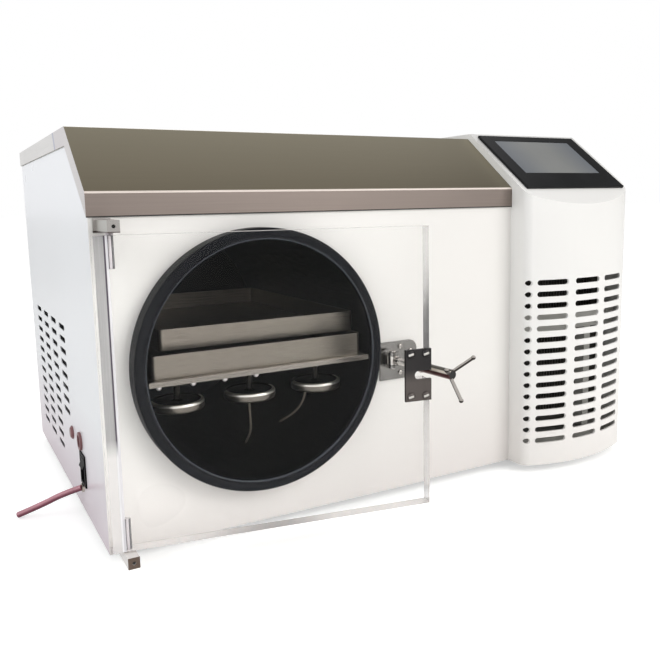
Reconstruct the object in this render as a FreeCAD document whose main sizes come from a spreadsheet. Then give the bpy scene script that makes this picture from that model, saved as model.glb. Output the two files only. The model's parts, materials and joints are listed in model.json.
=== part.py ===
import FreeCAD, Part
import math
import os
import re

import Sketcher

# Bench-top freeze dryer. Each formula below is in the cabinet's own directions: X runs right along
# the front panel from the cabinet's left face, Y runs back from the front panel and Z up from the
# cabinet's underside. The last step moves every piece so that the origin is under the middle of the
# whole machine, at the bottom of its feet.

# Driving dimensions, in millimetres and degrees.
SIZES = {
    # Vacuum chamber
    "chamber_radius": 150,
    "chamber_wall": 2,
    "chamber_depth": 400,
    "chamber_reach": 17,
    "chamber_lift": 22,
    "coil_space": 10,
    "coil_tube_radius": 4,
    "coil_pitch": 30,
    "coil_length": 300,
    "coil_start": 40,
    "jacket_wall": 24,
    "jacket_gap": 7.5,
    "jacket_start": 8,
    "flange_width": 8,
    "flange_thickness": 3,
    "flange_lip": 3.5,
    "gasket_lip": 4,
    "gasket_skin": 1.8,
    "gasket_face": 5.8,
    "gasket_back": 1,
    "port_bore": 12.5,
    "port_wall": 1.5,
    "port_reach": 30,
    "port_flange_radius": 20,
    "port_flange_thickness": 3,
    # Casing
    "main_width": 597,
    "main_depth": 556,
    "casing_sheet": 1.2,
    "panel_fit": 0.2,
    "chamber_hole_fit": 0.6,
    "port_hole_fit": 2,
    "pan_sheet": 2,
    "pan_wall": 25,
    "fold_margin": 43.5,
    "front_panel_drop": 6.5,
    "lid_run": 102,
    "lid_rise": 78.5,
    "lid_lip": 27.2,
    "lid_skirt": 22,
    "lid_fit": 0.8,
    "lid_gap": 4,
    "lid_screw_margin": 89.55,
    "foot_radius": 15,
    "foot_height": 12,
    "foot_inset": 45,
    "foot_taper": 2,
    # Tower and touch panel
    "tower_wall": 3,
    "tower_rise": 7,
    "tower_tilt": 36.3,
    "crown_radius": 250,
    "crown_depth": 54,
    "crown_inset": 100,
    "tower_left_round": 15,
    "tower_right_round": 30,
    "touch_width": 199,
    "touch_length": 138.5,
    "touch_thickness": 4,
    "touch_left_margin": 9,
    "touch_right_margin": 12,
    "touch_front_margin": 37.7,
    "touch_back_margin": 9.6,
    "display_width": 154,
    "display_length": 87,
    "display_top_margin": 15,
    "display_glass": 2.5,
    "display_recess": 0.4,
    "housing_margin": 8,
    "housing_depth": 26,
    # Cooling slots
    "front_slot_rows": 15,
    "front_slot_pitch": 16.9,
    "front_slot_height": 8,
    "front_slot_bottom": 38,
    "front_slot_left": 16.5,
    "front_slot_right": 27.5,
    "front_slot_bar": 13,
    "front_hole_inset": 5.5,
    "side_slot_pitch": 17,
    "side_slot_step": 75,
    "side_slot_height": 7.5,
    "side_slot_length": 48,
    "side_slot_bottom": 46,
    "side_slot_back": 89,
    "side_slot_rows": 12,
    "short_column_rows": 8,
    "short_column_skip": 4,
    "rear_slot_height": 5,
    "rear_slot_pitch": 12,
    "rear_slot_margin": 40,
    "rear_slot_bottom": 60,
    "rear_slot_rows": 18,
    # Shelf, trays and disc heaters
    "shelf_drop": 15,
    "shelf_thickness": 6.4,
    "shelf_fit": 2.2,
    "shelf_front": 20,
    "shelf_back_gap": 20,
    "rail_width": 28,
    "rail_overlap": 9.8,
    "rail_thickness": 3,
    "rail_front": 5,
    "tray_sheet": 1.5,
    "tray_corner": 6,
    "tray_side_fit": 6,
    "tray_top_fit": 2.6,
    "tray_slide": 20,
    "tray_lower_height": 27.6,
    "tray_upper_height": 25.5,
    "tray_lower_front": 10,
    "tray_lower_length": 365,
    "tray_upper_back": 15,
    "tray_upper_length": 350,
    "heater_radius": 33,
    "heater_thickness": 12,
    "heater_round": 2,
    "heater_drop": 43,
    "heater_pitch": 95,
    "heater_back": 40,
    "heater_stud_radius": 4,
    "lead_radius": 1.5,
    # Door and hinges
    "door_thickness": 20,
    "door_gap": 0.3,
    "door_left_margin": 38.7,
    "door_right_margin": 23.3,
    "door_bottom_margin": 27,
    "door_top_margin": -2,
    "door_ajar": 10.25,
    "hinge_inset": 19.0,
    "hinge_pin_radius": 4,
    "hinge_pin_depth": 35,
    "hinge_block_width": 13,
    "hinge_block_height": 13,
    "hinge_block_reach": 60,
    "hinge_flange_width": 19,
    "hinge_flange_thickness": 3,
    "hinge_flange_margin": 1.2,
    "hinge_gap": 3,
    "hinge_washer_radius": 7.5,
    "hinge_washer_thickness": 1.8,
    "set_screw_radius": 2,
    "set_screw_recess": 1.5,
    "press_clearance": 0.02,
    "running_clearance": 0.05,
    # Latch
    "latch_drop": 21.5,
    "latch_outset": 0.2,
    "latch_pivot_reach": 15.5,
    "latch_pin_radius": 3,
    "latch_pin_overhang": 2,
    "latch_pin_head_radius": 4.5,
    "latch_eye_radius": 8,
    "latch_eye_height": 12.6,
    "ear_thickness": 4,
    "ear_gap": 0.2,
    "bracket_thickness": 3,
    "bracket_left": 12,
    "bracket_right": 47,
    "bracket_up": 21.5,
    "bracket_down": 30.5,
    "bracket_round": 12,
    "bracket_screw_near": 19.74,
    "bracket_screw_far": 36.66,
    "bracket_screw_top": 14.19,
    "bracket_screw_upper": 6.45,
    "bracket_screw_lower": 15.25,
    "bracket_screw_bottom": 21.96,
    "bolt_radius": 5,
    "bolt_length": 77.5,
    "bolt_swing": 5,
    "knob_radius": 6.4,
    "knob_length": 56,
    "knob_start": 62.5,
    "knob_end_wall": 5,
    "knob_edge": 1,
    "washer_radius": 7.5,
    "washer_thickness": 2,
    "washer_gap": 0.1,
    "arm_radius": 2.25,
    "arm_ball_radius": 2.9,
    "arm_root": 3,
    "arm_root_back": 4,
    "arm_spread": 28,
    "arm_advance": 17,
    "latch_plate_width": 34,
    "latch_plate_height": 64,
    "latch_plate_thickness": 4,
    "latch_plate_outset": 1,
    "latch_slot_depth": 22,
    "latch_slot_height": 10.6,
    "door_notch_height": 14,
    "door_notch_depth": 24,
    "plate_screw_across": 20,
    "plate_screw_up": 52,
    # Screws
    "screw_radius": 2,
    "screw_head_radius": 3.6,
    "screw_head_height": 2.4,
    "plate_screw_length": 16,
    "bracket_screw_length": 8,
    "lid_screw_length": 8,
    "screw_hole_clearance": 0.1,
    # Left side fittings
    "inlet_width": 32,
    "inlet_height": 42,
    "inlet_front": 121,
    "inlet_bottom": 39,
    "inlet_flange": 2,
    "inlet_rim": 2,
    "inlet_depth": 28,
    "socket_width": 24,
    "socket_height": 18,
    "socket_depth": 17,
    "socket_margin": 4,
    "blade_length": 10,
    "blade_thickness": 2,
    "blade_height": 4,
    "blade_across": 7,
    "blade_drop": 2,
    "earth_blade_rise": 3,
    "rocker_width": 24,
    "rocker_height": 14.4,
    "rocker_throw": 8,
    "rocker_margin": 12,
    "rocker_end_fit": 1.2,
    "rocker_axis_depth": 3,
    "rocker_proud": 3.5,
    "rocker_middle_proud": 1.5,
    "rocker_depth": 6,
    "rocker_taper": 2,
    "pump_socket_back": 147,
    "pump_socket_up": 95,
    "pump_socket_radius": 12,
    "pump_socket_rim": 3,
    "pump_socket_bore": 8.16,
    "pump_socket_recess": 7,
    "pump_socket_neck": 9,
    "pump_socket_depth": 18,
    "fuse_back": 207,
    "fuse_up": 91,
    "fuse_radius": 9,
    "fuse_rim": 2,
    "fuse_cap_radius": 7.5,
    "fuse_cap_reach": 3.5,
    "fuse_cap_edge": 1,
    "fuse_neck": 6.5,
    "fuse_depth": 28,
    "nipple_back": 146.7,
    "nipple_up": 32.5,
    "nipple_collar_radius": 6,
    "nipple_collar_height": 3,
    "nipple_radius": 4.5,
    "nipple_bore": 1.9,
    "nipple_depth": 18,
    "hose_radius": 4,
    # Refrigeration and control
    "compressor_radius": 75,
    "compressor_height": 184,
    "compressor_back": 380,
    "radiator_margin": 14,
    "radiator_front": 20,
    "radiator_depth": 35,
    "radiator_bottom": 40,
    "radiator_height": 240,
    "radiator_edge": 12,
    "fin_pitch": 6,
    "fin_slot": 4,
    "fan_half": 80,
    "fan_bore": 72,
    "fan_back": 60,
    "fan_depth": 25,
    "fan_hub_setback": 3,
    "fan_hub_gap": 1,
    "fan_up": 160,
    "fan_hub_radius": 20,
    "fan_tip_clearance": 4,
    "fan_motor_radius": 22,
    "fan_motor_length": 34,
    "fan_strut": 5,
    "fan_strut_overlap": 2,
    "fan_shaft_radius": 3,
    "fan_blade_width": 26,
    "fan_blade_thickness": 1.6,
    "fan_blade_root": 2,
    "fan_twist": 28,
    "board_width": 140,
    "board_height": 100,
    "board_thickness": 1.6,
    "board_standoff": 12,
    "board_bottom": 330,
    "board_post_radius": 3,
}

# Places worked out from the driving dimensions.
PORT_RADIUS = "(port_bore + port_wall)"
SHELL_RADIUS = "(chamber_radius + chamber_wall)"
COIL_BED = f"({SHELL_RADIUS} + coil_space)"
JACKET_RADIUS = f"({COIL_BED} + jacket_wall)"
CHAMBER_X = f"({JACKET_RADIUS} + jacket_gap)"
CHAMBER_Z = f"({JACKET_RADIUS} + chamber_lift)"
CHAMBER_BACK = "(chamber_depth + chamber_wall)"
FLANGE_RADIUS = "(chamber_radius + flange_width)"
FLANGE_FRONT = "(-chamber_reach - flange_thickness)"
GASKET_SEAT = f"({FLANGE_FRONT} - panel_fit)"
GASKET_FRONT = f"({GASKET_SEAT} - gasket_face)"
GASKET_RADIUS = f"({FLANGE_RADIUS} + panel_fit + gasket_skin)"
LID_OVERHANG = "(casing_sheet + lid_fit)"
FOLD_Z = f"({CHAMBER_Z} + {GASKET_RADIUS} + fold_margin)"
LIP_Z = f"({FOLD_Z} - lid_lip)"
MAIN_TOP = f"({FOLD_Z} + lid_rise)"
LID_SLOPE = "(lid_rise / lid_run)"
LID_STEEPNESS = "sqrt(1 + (lid_rise / lid_run) ^ 2)"
INSIDE_REAR = "(main_depth - casing_sheet - panel_fit)"
TILT = "(tower_tilt * 1 deg)"
TOWER_WIDTH = "(touch_left_margin + touch_width + touch_right_margin)"
TOWER_RIGHT = f"(main_width + {TOWER_WIDTH})"
TOWER_MIDDLE = f"(main_width + {TOWER_WIDTH} / 2)"
TOWER_TOP = f"({MAIN_TOP} + tower_rise)"
TOWER_FRONT_Z = (f"({TOWER_TOP} - (touch_front_margin + touch_length + touch_back_margin)"
                 f" * sin({TILT}))")
SHELF_Z = f"({CHAMBER_Z} - shelf_drop)"
SHELF_TOP = f"({SHELF_Z} + shelf_thickness)"
SHELF_HALF = "(sqrt((chamber_radius - gasket_lip) ^ 2 - shelf_drop ^ 2) - shelf_fit)"
TRAY_TOP = "(shelf_thickness - shelf_drop + tray_lower_height + tray_upper_height)"
TRAY_HALF = f"sqrt((chamber_radius - tray_top_fit) ^ 2 - {TRAY_TOP} ^ 2)"
DOOR_LEFT = f"({CHAMBER_X} - {GASKET_RADIUS} - door_left_margin)"
DOOR_RIGHT = f"({CHAMBER_X} + {GASKET_RADIUS} + door_right_margin)"
DOOR_BOTTOM = f"({CHAMBER_Z} - {GASKET_RADIUS} - door_bottom_margin)"
DOOR_TOP = f"({CHAMBER_Z} + {GASKET_RADIUS} + door_top_margin)"
DOOR_BACK = f"({GASKET_FRONT} - door_gap)"
DOOR_FRONT = f"({DOOR_BACK} - door_thickness)"
HINGE_X = f"({DOOR_LEFT} + hinge_inset)"
HINGE_Y = f"({DOOR_BACK} - door_thickness / 2)"
LATCH_X = f"({DOOR_RIGHT} + latch_outset)"
LATCH_Y = "(-latch_pivot_reach)"
LATCH_Z = f"({CHAMBER_Z} - latch_drop)"
KNOB_END = "(knob_start + knob_length)"
NIPPLE = ("-nipple_collar_height", "nipple_back", "nipple_up")
ROCKER_X = "rocker_axis_depth"
ROCKER_Y = "(inlet_front + inlet_width / 2)"
ROCKER_Z = "(inlet_bottom + inlet_height - rocker_margin)"

# Angles of the knob's arms about the bolt, from the machine's right, and how many blades the fan has.
ARM_ANGLES = (51, 154, -94)
FAN_BLADES = 5

# Shares of the compressor's radius and height at the bends of its shell, from its foot to its top.
COMPRESSOR_BENDS = ((0.6, 0), (0.6, 0.054), (0.95, 0.086), (1, 0.5), (0.95, 0.8), (0.65, 0.96))

# Shares of the control board's width and height at the corners of what stands on it.
BOARD_POSTS = ((0.06, 0.08), (0.94, 0.08), (0.06, 0.92), (0.94, 0.92))
BOARD_PARTS = (((0.1, 0.2), ("40", "26", "32")), ((0.55, 0.2), ("18", "15", "18")),
               ((0.75, 0.2), ("18", "15", "18")), ((0.15, 0.7), ("96", "12", "10")))

X, Y, Z = FreeCAD.Vector(1, 0, 0), FreeCAD.Vector(0, 1, 0), FreeCAD.Vector(0, 0, 1)

doc = FreeCAD.newDocument("freeze_dryer")
sheet = doc.addObject("Spreadsheet::Sheet", "sizes")
for row, (name, number) in enumerate(SIZES.items(), start=1):
    sheet.set(f"A{row}", name)
    sheet.set(f"B{row}", str(number))
    sheet.setAlias(f"B{row}", name)
doc.recompute()


# Formulas, sketches and features

def bind(formula):
    """Return a formula of size names as an expression on the sheet."""
    return re.sub(r"[a-z]+(?:_[a-z]+)+", r"sizes.\g<0>", formula)


def measure(formula):
    """Return the number that a formula of size names stands for."""
    gauge = doc.getObject("gauge") or doc.addObject("Part::Vertex", "gauge")
    gauge.setExpression("X", bind(formula))
    gauge.recompute()
    return gauge.X.Value


def measure_point(place):
    """Return the point that three formulas stand for."""
    return FreeCAD.Vector(*(measure(formula) for formula in place))


def put(item, place, rotation=FreeCAD.Rotation()):
    """Bind an item's place to three formulas."""
    item.Placement = FreeCAD.Placement(FreeCAD.Vector(), rotation)
    for axis, formula in zip("xyz", place):
        item.setExpression(f"Placement.Base.{axis}", bind(formula))


def new_body(name):
    """Return an empty body."""
    return doc.addObject("PartDesign::Body", name)


def new_sketch(body, plane, shift=("0", "0", "0")):
    """Return a sketch on one of a body's own planes, moved along that plane's own axes."""
    sketch = body.newObject("Sketcher::SketchObject", body.Name + "_sketch")
    support = [item for item in body.Origin.OriginFeatures if item.Role == plane + "_Plane"]
    sketch.AttachmentSupport = [(support[0], "")]
    sketch.MapMode = "FlatFace"
    for axis, formula in zip("xyz", shift):
        sketch.setExpression(f"AttachmentOffset.Base.{axis}", bind(formula))
    return sketch


def hold(sketch, index, point, place):
    """Hold a point of a sketch at a pair of formulas; None leaves a direction free."""
    for kind, formula in zip(("DistanceX", "DistanceY"), place):
        if formula is not None:
            distance = measure(formula)
            number = sketch.addConstraint(Sketcher.Constraint(kind, index, point, distance))
            sketch.setExpression(f"Constraints[{number}]", bind(formula))


def hold_radius(sketch, index, formula):
    """Hold the radius of a circle or an arc of a sketch at a formula."""
    radius = sketch.Geometry[index].Radius
    number = sketch.addConstraint(Sketcher.Constraint("Radius", index, radius))
    sketch.setExpression(f"Constraints[{number}]", bind(formula))


def draw_polygon(sketch, corners):
    """Draw a closed polygon through pairs of formulas."""
    points = [FreeCAD.Vector(measure(across), measure(up), 0) for across, up in corners]
    first, count = sketch.GeometryCount, len(points)
    for index in range(count):
        sketch.addGeometry(Part.LineSegment(points[index], points[(index + 1) % count]))
    for index, corner in enumerate(corners):
        following = first + (index + 1) % count
        sketch.addConstraint(Sketcher.Constraint("Coincident", first + index, 2, following, 1))
        hold(sketch, first + index, 1, corner)


def draw_rectangle(sketch, low, high):
    """Draw a rectangle between two corners."""
    draw_polygon(sketch, [low, (high[0], low[1]), high, (low[0], high[1])])


def draw_circle(sketch, centre, radius):
    """Draw a circle."""
    middle = FreeCAD.Vector(measure(centre[0]), measure(centre[1]), 0)
    index = sketch.addGeometry(Part.Circle(middle, Z, measure(radius)))
    hold(sketch, index, 3, centre)
    hold_radius(sketch, index, radius)


def draw_halves(sketch, centre, radius):
    """Draw a circle as an upper and a lower half that meet level with its centre."""
    middle = FreeCAD.Vector(measure(centre[0]), measure(centre[1]), 0)
    ring = Part.Circle(middle, Z, measure(radius))
    upper = sketch.addGeometry(Part.ArcOfCircle(ring, 0, math.pi))
    lower = sketch.addGeometry(Part.ArcOfCircle(ring, math.pi, 2 * math.pi))
    for near, far in ((upper, lower), (lower, upper)):
        sketch.addConstraint(Sketcher.Constraint("Coincident", near, 2, far, 1))
        sketch.addConstraint(Sketcher.Constraint("Horizontal", near, 2, near, 3))
    sketch.addConstraint(Sketcher.Constraint("Coincident", lower, 3, upper, 3))
    hold(sketch, upper, 3, centre)
    hold_radius(sketch, upper, radius)


def draw_slot(sketch, left, right, middle, height):
    """Draw a level slot with round ends, between the outermost points of those ends."""
    radius = measure(height) / 2
    ends = [FreeCAD.Vector(measure(left) + radius, measure(middle), 0),
            FreeCAD.Vector(measure(right) - radius, measure(middle), 0)]
    rise = FreeCAD.Vector(0, radius, 0)
    arcs = [(math.pi / 2, 3 * math.pi / 2), (-math.pi / 2, math.pi / 2)]
    first = sketch.addGeometry(Part.ArcOfCircle(Part.Circle(ends[0], Z, radius), *arcs[0]))
    sketch.addGeometry(Part.LineSegment(ends[0] - rise, ends[1] - rise))
    sketch.addGeometry(Part.ArcOfCircle(Part.Circle(ends[1], Z, radius), *arcs[1]))
    sketch.addGeometry(Part.LineSegment(ends[1] + rise, ends[0] + rise))
    for index in range(4):
        sketch.addConstraint(
            Sketcher.Constraint("Tangent", first + index, 2, first + (index + 1) % 4, 1))
    hold(sketch, first, 3, (f"{left} + {height} / 2", middle))
    hold(sketch, first + 2, 3, (f"{right} - {height} / 2", None))
    for side in (first + 1, first + 3):
        sketch.addConstraint(Sketcher.Constraint("Horizontal", side))
    hold_radius(sketch, first, f"{height} / 2")


def pad(body, sketch, length):
    """Pad a sketch along its normal."""
    feature = body.newObject("PartDesign::Pad", body.Name + "_pad")
    feature.Profile = sketch
    feature.setExpression("Length", bind(length))
    return feature


def pocket_through(body, sketch):
    """Cut a sketch through the whole body, both ways."""
    feature = body.newObject("PartDesign::Pocket", body.Name + "_pocket")
    feature.Profile = sketch
    feature.Type = "ThroughAll"
    feature.SideType = "Symmetric"
    return feature


def repeat_up(body, feature, sketch, pitch, count):
    """Repeat a feature up its sketch's vertical axis."""
    pattern = body.newObject("PartDesign::LinearPattern", body.Name + "_rows")
    pattern.Originals = [feature]
    pattern.Direction = (sketch, ["V_Axis"])
    pattern.setExpression("Length", bind(f"{pitch} * ({count} - 1)"))
    pattern.setExpression("Occurrences", bind(count))
    body.Tip = pattern


def round_edges(body, feature, direction, radius, chosen=lambda edge: True):
    """Round a feature's straight edges that run along a direction."""
    doc.recompute()
    names = [f"Edge{number}" for number, edge in enumerate(feature.Shape.Edges, start=1)
             if edge.Curve.TypeId == "Part::GeomLine"
             and edge.Curve.Direction.cross(direction).Length < 1e-6 and chosen(edge)]
    fillet = body.newObject("PartDesign::Fillet", body.Name + "_fillet")
    fillet.Base = (feature, names)
    fillet.setExpression("Radius", bind(radius))
    return fillet


def plate(name, plane, start, thickness, corners):
    """Return a body padded from a polygon on a plane that lies at start along its normal."""
    body = new_body(name)
    sketch = new_sketch(body, plane, ("0", "0", start))
    draw_polygon(sketch, corners)
    pad(body, sketch, thickness)
    return body


def turned(name, axis, centre, profile):
    """Return a body turned about a line along an axis through centre.

    The profile holds (radius, place along the axis) pairs.
    """
    body = new_body(name)
    across, back, up = centre
    if axis == "X":
        sketch, line = new_sketch(body, "XY", ("0", back, up)), "H_Axis"
        corners = [(along, radius) for radius, along in profile]
    elif axis == "Y":
        sketch, line = new_sketch(body, "XY", (across, "0", up)), "V_Axis"
        corners = profile
    else:
        sketch, line = new_sketch(body, "XZ", (across, "0", f"-({back})")), "V_Axis"
        corners = profile
    draw_polygon(sketch, corners)
    feature = body.newObject("PartDesign::Revolution", name + "_turn")
    feature.Profile = sketch
    feature.ReferenceAxis = (sketch, [line])
    feature.Angle = 360
    return body


def loose_box(name, lengths):
    """Return a box that has not been put in its place."""
    item = doc.addObject("Part::Box", name)
    for side, formula in zip(("Length", "Width", "Height"), lengths):
        item.setExpression(side, bind(formula))
    return item


def box(name, low, lengths):
    """Return a box from its low corner and its lengths."""
    item = loose_box(name, lengths)
    put(item, low)
    return item


def cylinder(name, base, direction, radius, height):
    """Return a cylinder that runs from its base along a direction."""
    item = doc.addObject("Part::Cylinder", name)
    item.setExpression("Radius", bind(radius))
    item.setExpression("Height", bind(height))
    put(item, base, FreeCAD.Rotation(Z, direction))
    return item


def ball(name, centre, radius):
    """Return a ball."""
    item = doc.addObject("Part::Sphere", name)
    item.setExpression("Radius", bind(radius))
    put(item, centre)
    return item


def fuse(name, *items):
    """Return several items joined into one."""
    joined = doc.addObject("Part::MultiFuse", name)
    joined.Shapes = list(items)
    return joined


def cut(name, base, *tools):
    """Return a base with tools cut out of it."""
    result = doc.addObject("Part::Cut", name)
    result.Base = base
    result.Tool = tools[0] if len(tools) == 1 else fuse(name + "_tools", *tools)
    return result


def group(name, items):
    """Return several separate items as one."""
    compound = doc.addObject("Part::Compound", name)
    compound.Links = list(items)
    return compound


def move(place, out, distance):
    """Return a place moved along an axis direction by a formula."""
    return tuple(f"({formula}) + ({part:g}) * ({distance})" if part else formula
                 for formula, part in zip(place, out))


def screws(name, seats, out, length):
    """Return pan-head screws whose heads sit on seats and point out."""
    made = []
    for number, seat in enumerate(seats):
        head = cylinder(f"{name}_head_{number}", seat, out, "screw_head_radius",
                        "screw_head_height")
        shank = cylinder(f"{name}_shank_{number}", move(seat, -out, length), out,
                         "screw_radius", length)
        made.append(fuse(f"{name}_{number}", head, shank))
    return group(name, made)


def screw_holes(name, seats, out, length):
    """Return the clearance holes for screws, from just outside their seats."""
    return [cylinder(f"{name}_hole_{number}", move(seat, -out, length), out,
                     "screw_radius + screw_hole_clearance", f"{length} + screw_head_height")
            for number, seat in enumerate(seats)]


def tube(name, points, radius):
    """Return a round rod along straight runs joined by tangent arcs.

    Each arc is as large as its two runs allow.
    """
    radii, edges, start = [], [], points[0]
    for before, corner, after in zip(points, points[1:], points[2:]):
        arrive, leave = (corner - before).normalize(), (after - corner).normalize()
        half_turn = arrive.getAngle(leave) / 2
        tangent = 0.45 * min((corner - before).Length, (after - corner).Length)
        bend = tangent / math.tan(half_turn)
        first, last = corner - arrive * tangent, corner + leave * tangent
        inward = (leave - arrive).normalize()
        middle = corner + inward * (bend / math.cos(half_turn) - bend)
        edges += [Part.LineSegment(start, first), Part.Arc(first, middle, last)]
        radii.append(bend)
        start = last
    edges.append(Part.LineSegment(start, points[-1]))
    path = Part.Wire([edge.toShape() for edge in edges])
    disc = Part.Wire(Part.makeCircle(radius, points[0], points[1] - points[0]))
    rod = path.makePipeShell([disc], True, False)
    ideal = math.pi * radius ** 2 * path.Length
    print(f"{name}: length {path.Length:.1f}, bend radii {[round(bend, 1) for bend in radii]},"
          f" volume {rod.Volume / ideal:.4f} of section times length")
    return rod


# Casing

def side_outline():
    """Return the outline of a side panel, under the lid's slope and top."""
    edge = "(casing_sheet + panel_fit)"
    return [(edge, "0"), (INSIDE_REAR, "0"), (INSIDE_REAR, f"{MAIN_TOP} - lid_gap"),
            (f"lid_run - {LID_OVERHANG}", f"{MAIN_TOP} - lid_gap"),
            (edge, f"{FOLD_Z} - lid_gap + ({edge} + {LID_OVERHANG}) * {LID_SLOPE}")]


def make_base_pan():
    """The main cabinet's folded floor, open upwards."""
    inset = "(casing_sheet + panel_fit)"
    width = f"(main_width - 2 * {inset} - panel_fit)"
    depth = f"({INSIDE_REAR} - {inset})"
    outside = box("pan_outside", (inset, inset, "0"), (width, depth, "pan_wall"))
    inside = box("pan_inside", (f"{inset} + pan_sheet", f"{inset} + pan_sheet", "pan_sheet"),
                 (f"{width} - 2 * pan_sheet", f"{depth} - 2 * pan_sheet", "pan_wall"))
    return cut("base_pan", outside, inside)


def make_front_panel():
    """The flat front sheet, with the chamber's round opening."""
    body = new_body("front_panel")
    sketch = new_sketch(body, "XZ", ("0", "0", "-casing_sheet"))
    draw_rectangle(sketch, ("0", "0"), ("main_width", f"{FOLD_Z} - front_panel_drop"))
    draw_circle(sketch, (CHAMBER_X, CHAMBER_Z), f"{SHELL_RADIUS} + chamber_hole_fit")
    for across, _, up in bracket_screw_seats():
        draw_circle(sketch, (across, up), "screw_radius + screw_hole_clearance")
    pad(body, sketch, "casing_sheet")
    return body


def make_left_side_panel():
    """The left sheet, with its cooling slots and the holes for the fittings."""
    body = new_body("left_side_panel")
    sketch = new_sketch(body, "YZ")
    draw_polygon(sketch, side_outline())
    rim = "inlet_rim - panel_fit"
    draw_rectangle(sketch, (f"inlet_front + {rim}", f"inlet_bottom + {rim}"),
                   (f"inlet_front + inlet_width - ({rim})",
                    f"inlet_bottom + inlet_height - ({rim})"))
    for place, radius in (
            (("pump_socket_back", "pump_socket_up"), "pump_socket_neck + panel_fit"),
            (("fuse_back", "fuse_up"), "fuse_neck + panel_fit"),
            (("nipple_back", "nipple_up"), "nipple_radius + panel_fit")):
        draw_circle(sketch, place, radius)
    pad(body, sketch, "casing_sheet")
    for columns, rows, skipped in (((0, 1, 2), "side_slot_rows", "0"),
                                   ((3,), "short_column_rows", "short_column_skip")):
        slots = new_sketch(body, "YZ")
        for column in columns:
            middle = f"(main_depth - side_slot_back - {column} * side_slot_step)"
            draw_slot(slots, f"{middle} - side_slot_length / 2",
                      f"{middle} + side_slot_length / 2",
                      f"side_slot_bottom + {skipped} * side_slot_pitch", "side_slot_height")
        repeat_up(body, pocket_through(body, slots), slots, "side_slot_pitch", rows)
    return body


def lid_screw_seats():
    """Return the places of the screws in the lid's rear skirt."""
    return [(across, f"main_depth + {LID_OVERHANG}", f"{MAIN_TOP} - lid_skirt / 2")
            for across in ("lid_screw_margin", "main_width / 2", "main_width - lid_screw_margin")]


def make_rear_panel():
    """The rear sheet of the cabinet and the tower, with the fan's slots and the vacuum port."""
    body = new_body("rear_panel")
    sketch = new_sketch(body, "XZ", ("0", "0", "-main_depth"))
    draw_polygon(sketch, [("0", "0"), (TOWER_RIGHT, "0"), (TOWER_RIGHT, TOWER_TOP),
                          ("main_width", TOWER_TOP), ("main_width", f"{MAIN_TOP} - lid_gap"),
                          ("0", f"{MAIN_TOP} - lid_gap")])
    draw_circle(sketch, (CHAMBER_X, CHAMBER_Z), f"{PORT_RADIUS} + port_hole_fit")
    pad(body, sketch, "casing_sheet")
    slots = new_sketch(body, "XZ")
    draw_slot(slots, "main_width + rear_slot_margin", f"{TOWER_RIGHT} - rear_slot_margin",
              "rear_slot_bottom", "rear_slot_height")
    repeat_up(body, pocket_through(body, slots), slots, "rear_slot_pitch",
              "rear_slot_rows")
    holes = screw_holes("rear_panel", lid_screw_seats(), Y, "lid_screw_length")
    return cut("rear_panel_drilled", body, *holes)


def lid_profile(inset, drop):
    """Return the lid's side profile from its lip to its rear, inset by a sheet."""
    climb = f"({inset} * {LID_STEEPNESS})"
    front, rear = f"(-{LID_OVERHANG} + {inset})", f"(main_depth + {LID_OVERHANG} - {inset})"
    top = f"({MAIN_TOP} - {inset})"
    return [(front, drop), (front, f"{FOLD_Z} + {inset} * {LID_SLOPE} - {climb}"),
            (f"-{LID_OVERHANG} + lid_run + ({climb} - {inset}) / {LID_SLOPE}", top), (rear, top)]


def make_top_lid():
    """The folded sheet lid: a top, a slope, a front lip and skirts at the left and rear."""
    skirt_z = f"({MAIN_TOP} - lid_skirt)"
    break_y = f"(-{LID_OVERHANG} + ({skirt_z} - {LIP_Z}) / {LID_SLOPE})"
    outside = plate("lid_outside", "YZ", f"-{LID_OVERHANG}",
                    f"{LID_OVERHANG} + main_width - panel_fit",
                    lid_profile("0", LIP_Z)
                    + [(f"main_depth + {LID_OVERHANG}", skirt_z), (break_y, skirt_z)])
    below = f"({LIP_Z} - lid_skirt)"
    inside = plate("lid_inside", "YZ", f"-{LID_OVERHANG} + casing_sheet",
                   "main_width + lid_skirt", lid_profile("casing_sheet", below)
                   + [(f"main_depth + {LID_OVERHANG} - casing_sheet", below)])
    holes = screw_holes("top_lid", lid_screw_seats(), Y, "lid_screw_length")
    return cut("top_lid", outside, inside, *holes)


def make_feet():
    """Four rubber feet, two under the cabinet's floor and two under the tower's."""
    places = {"front_left": ("foot_inset", "foot_inset"),
              "rear_left": ("foot_inset", "main_depth - foot_inset"),
              "front_right": (f"{TOWER_RIGHT} - foot_inset", "foot_inset"),
              "rear_right": (f"{TOWER_RIGHT} - foot_inset", "main_depth - foot_inset")}
    return [turned(f"foot_{name}", "Z", (across, back, "0"),
                   [("0", "-foot_height"), ("foot_radius - foot_taper", "-foot_height"),
                    ("foot_radius", "0"), ("0", "0")])
            for name, (across, back) in places.items()]


def make_casing():
    """The cabinet's sheets, lid and feet."""
    left = make_left_side_panel()
    right = plate("right_side_panel", "YZ", "main_width - casing_sheet - panel_fit",
                  "casing_sheet", side_outline())
    return [make_base_pan(), make_front_panel(), left, right, make_rear_panel(), make_top_lid(),
            screws("lid_screws", lid_screw_seats(), Y, "lid_screw_length"), *make_feet()]


# Tower

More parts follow.
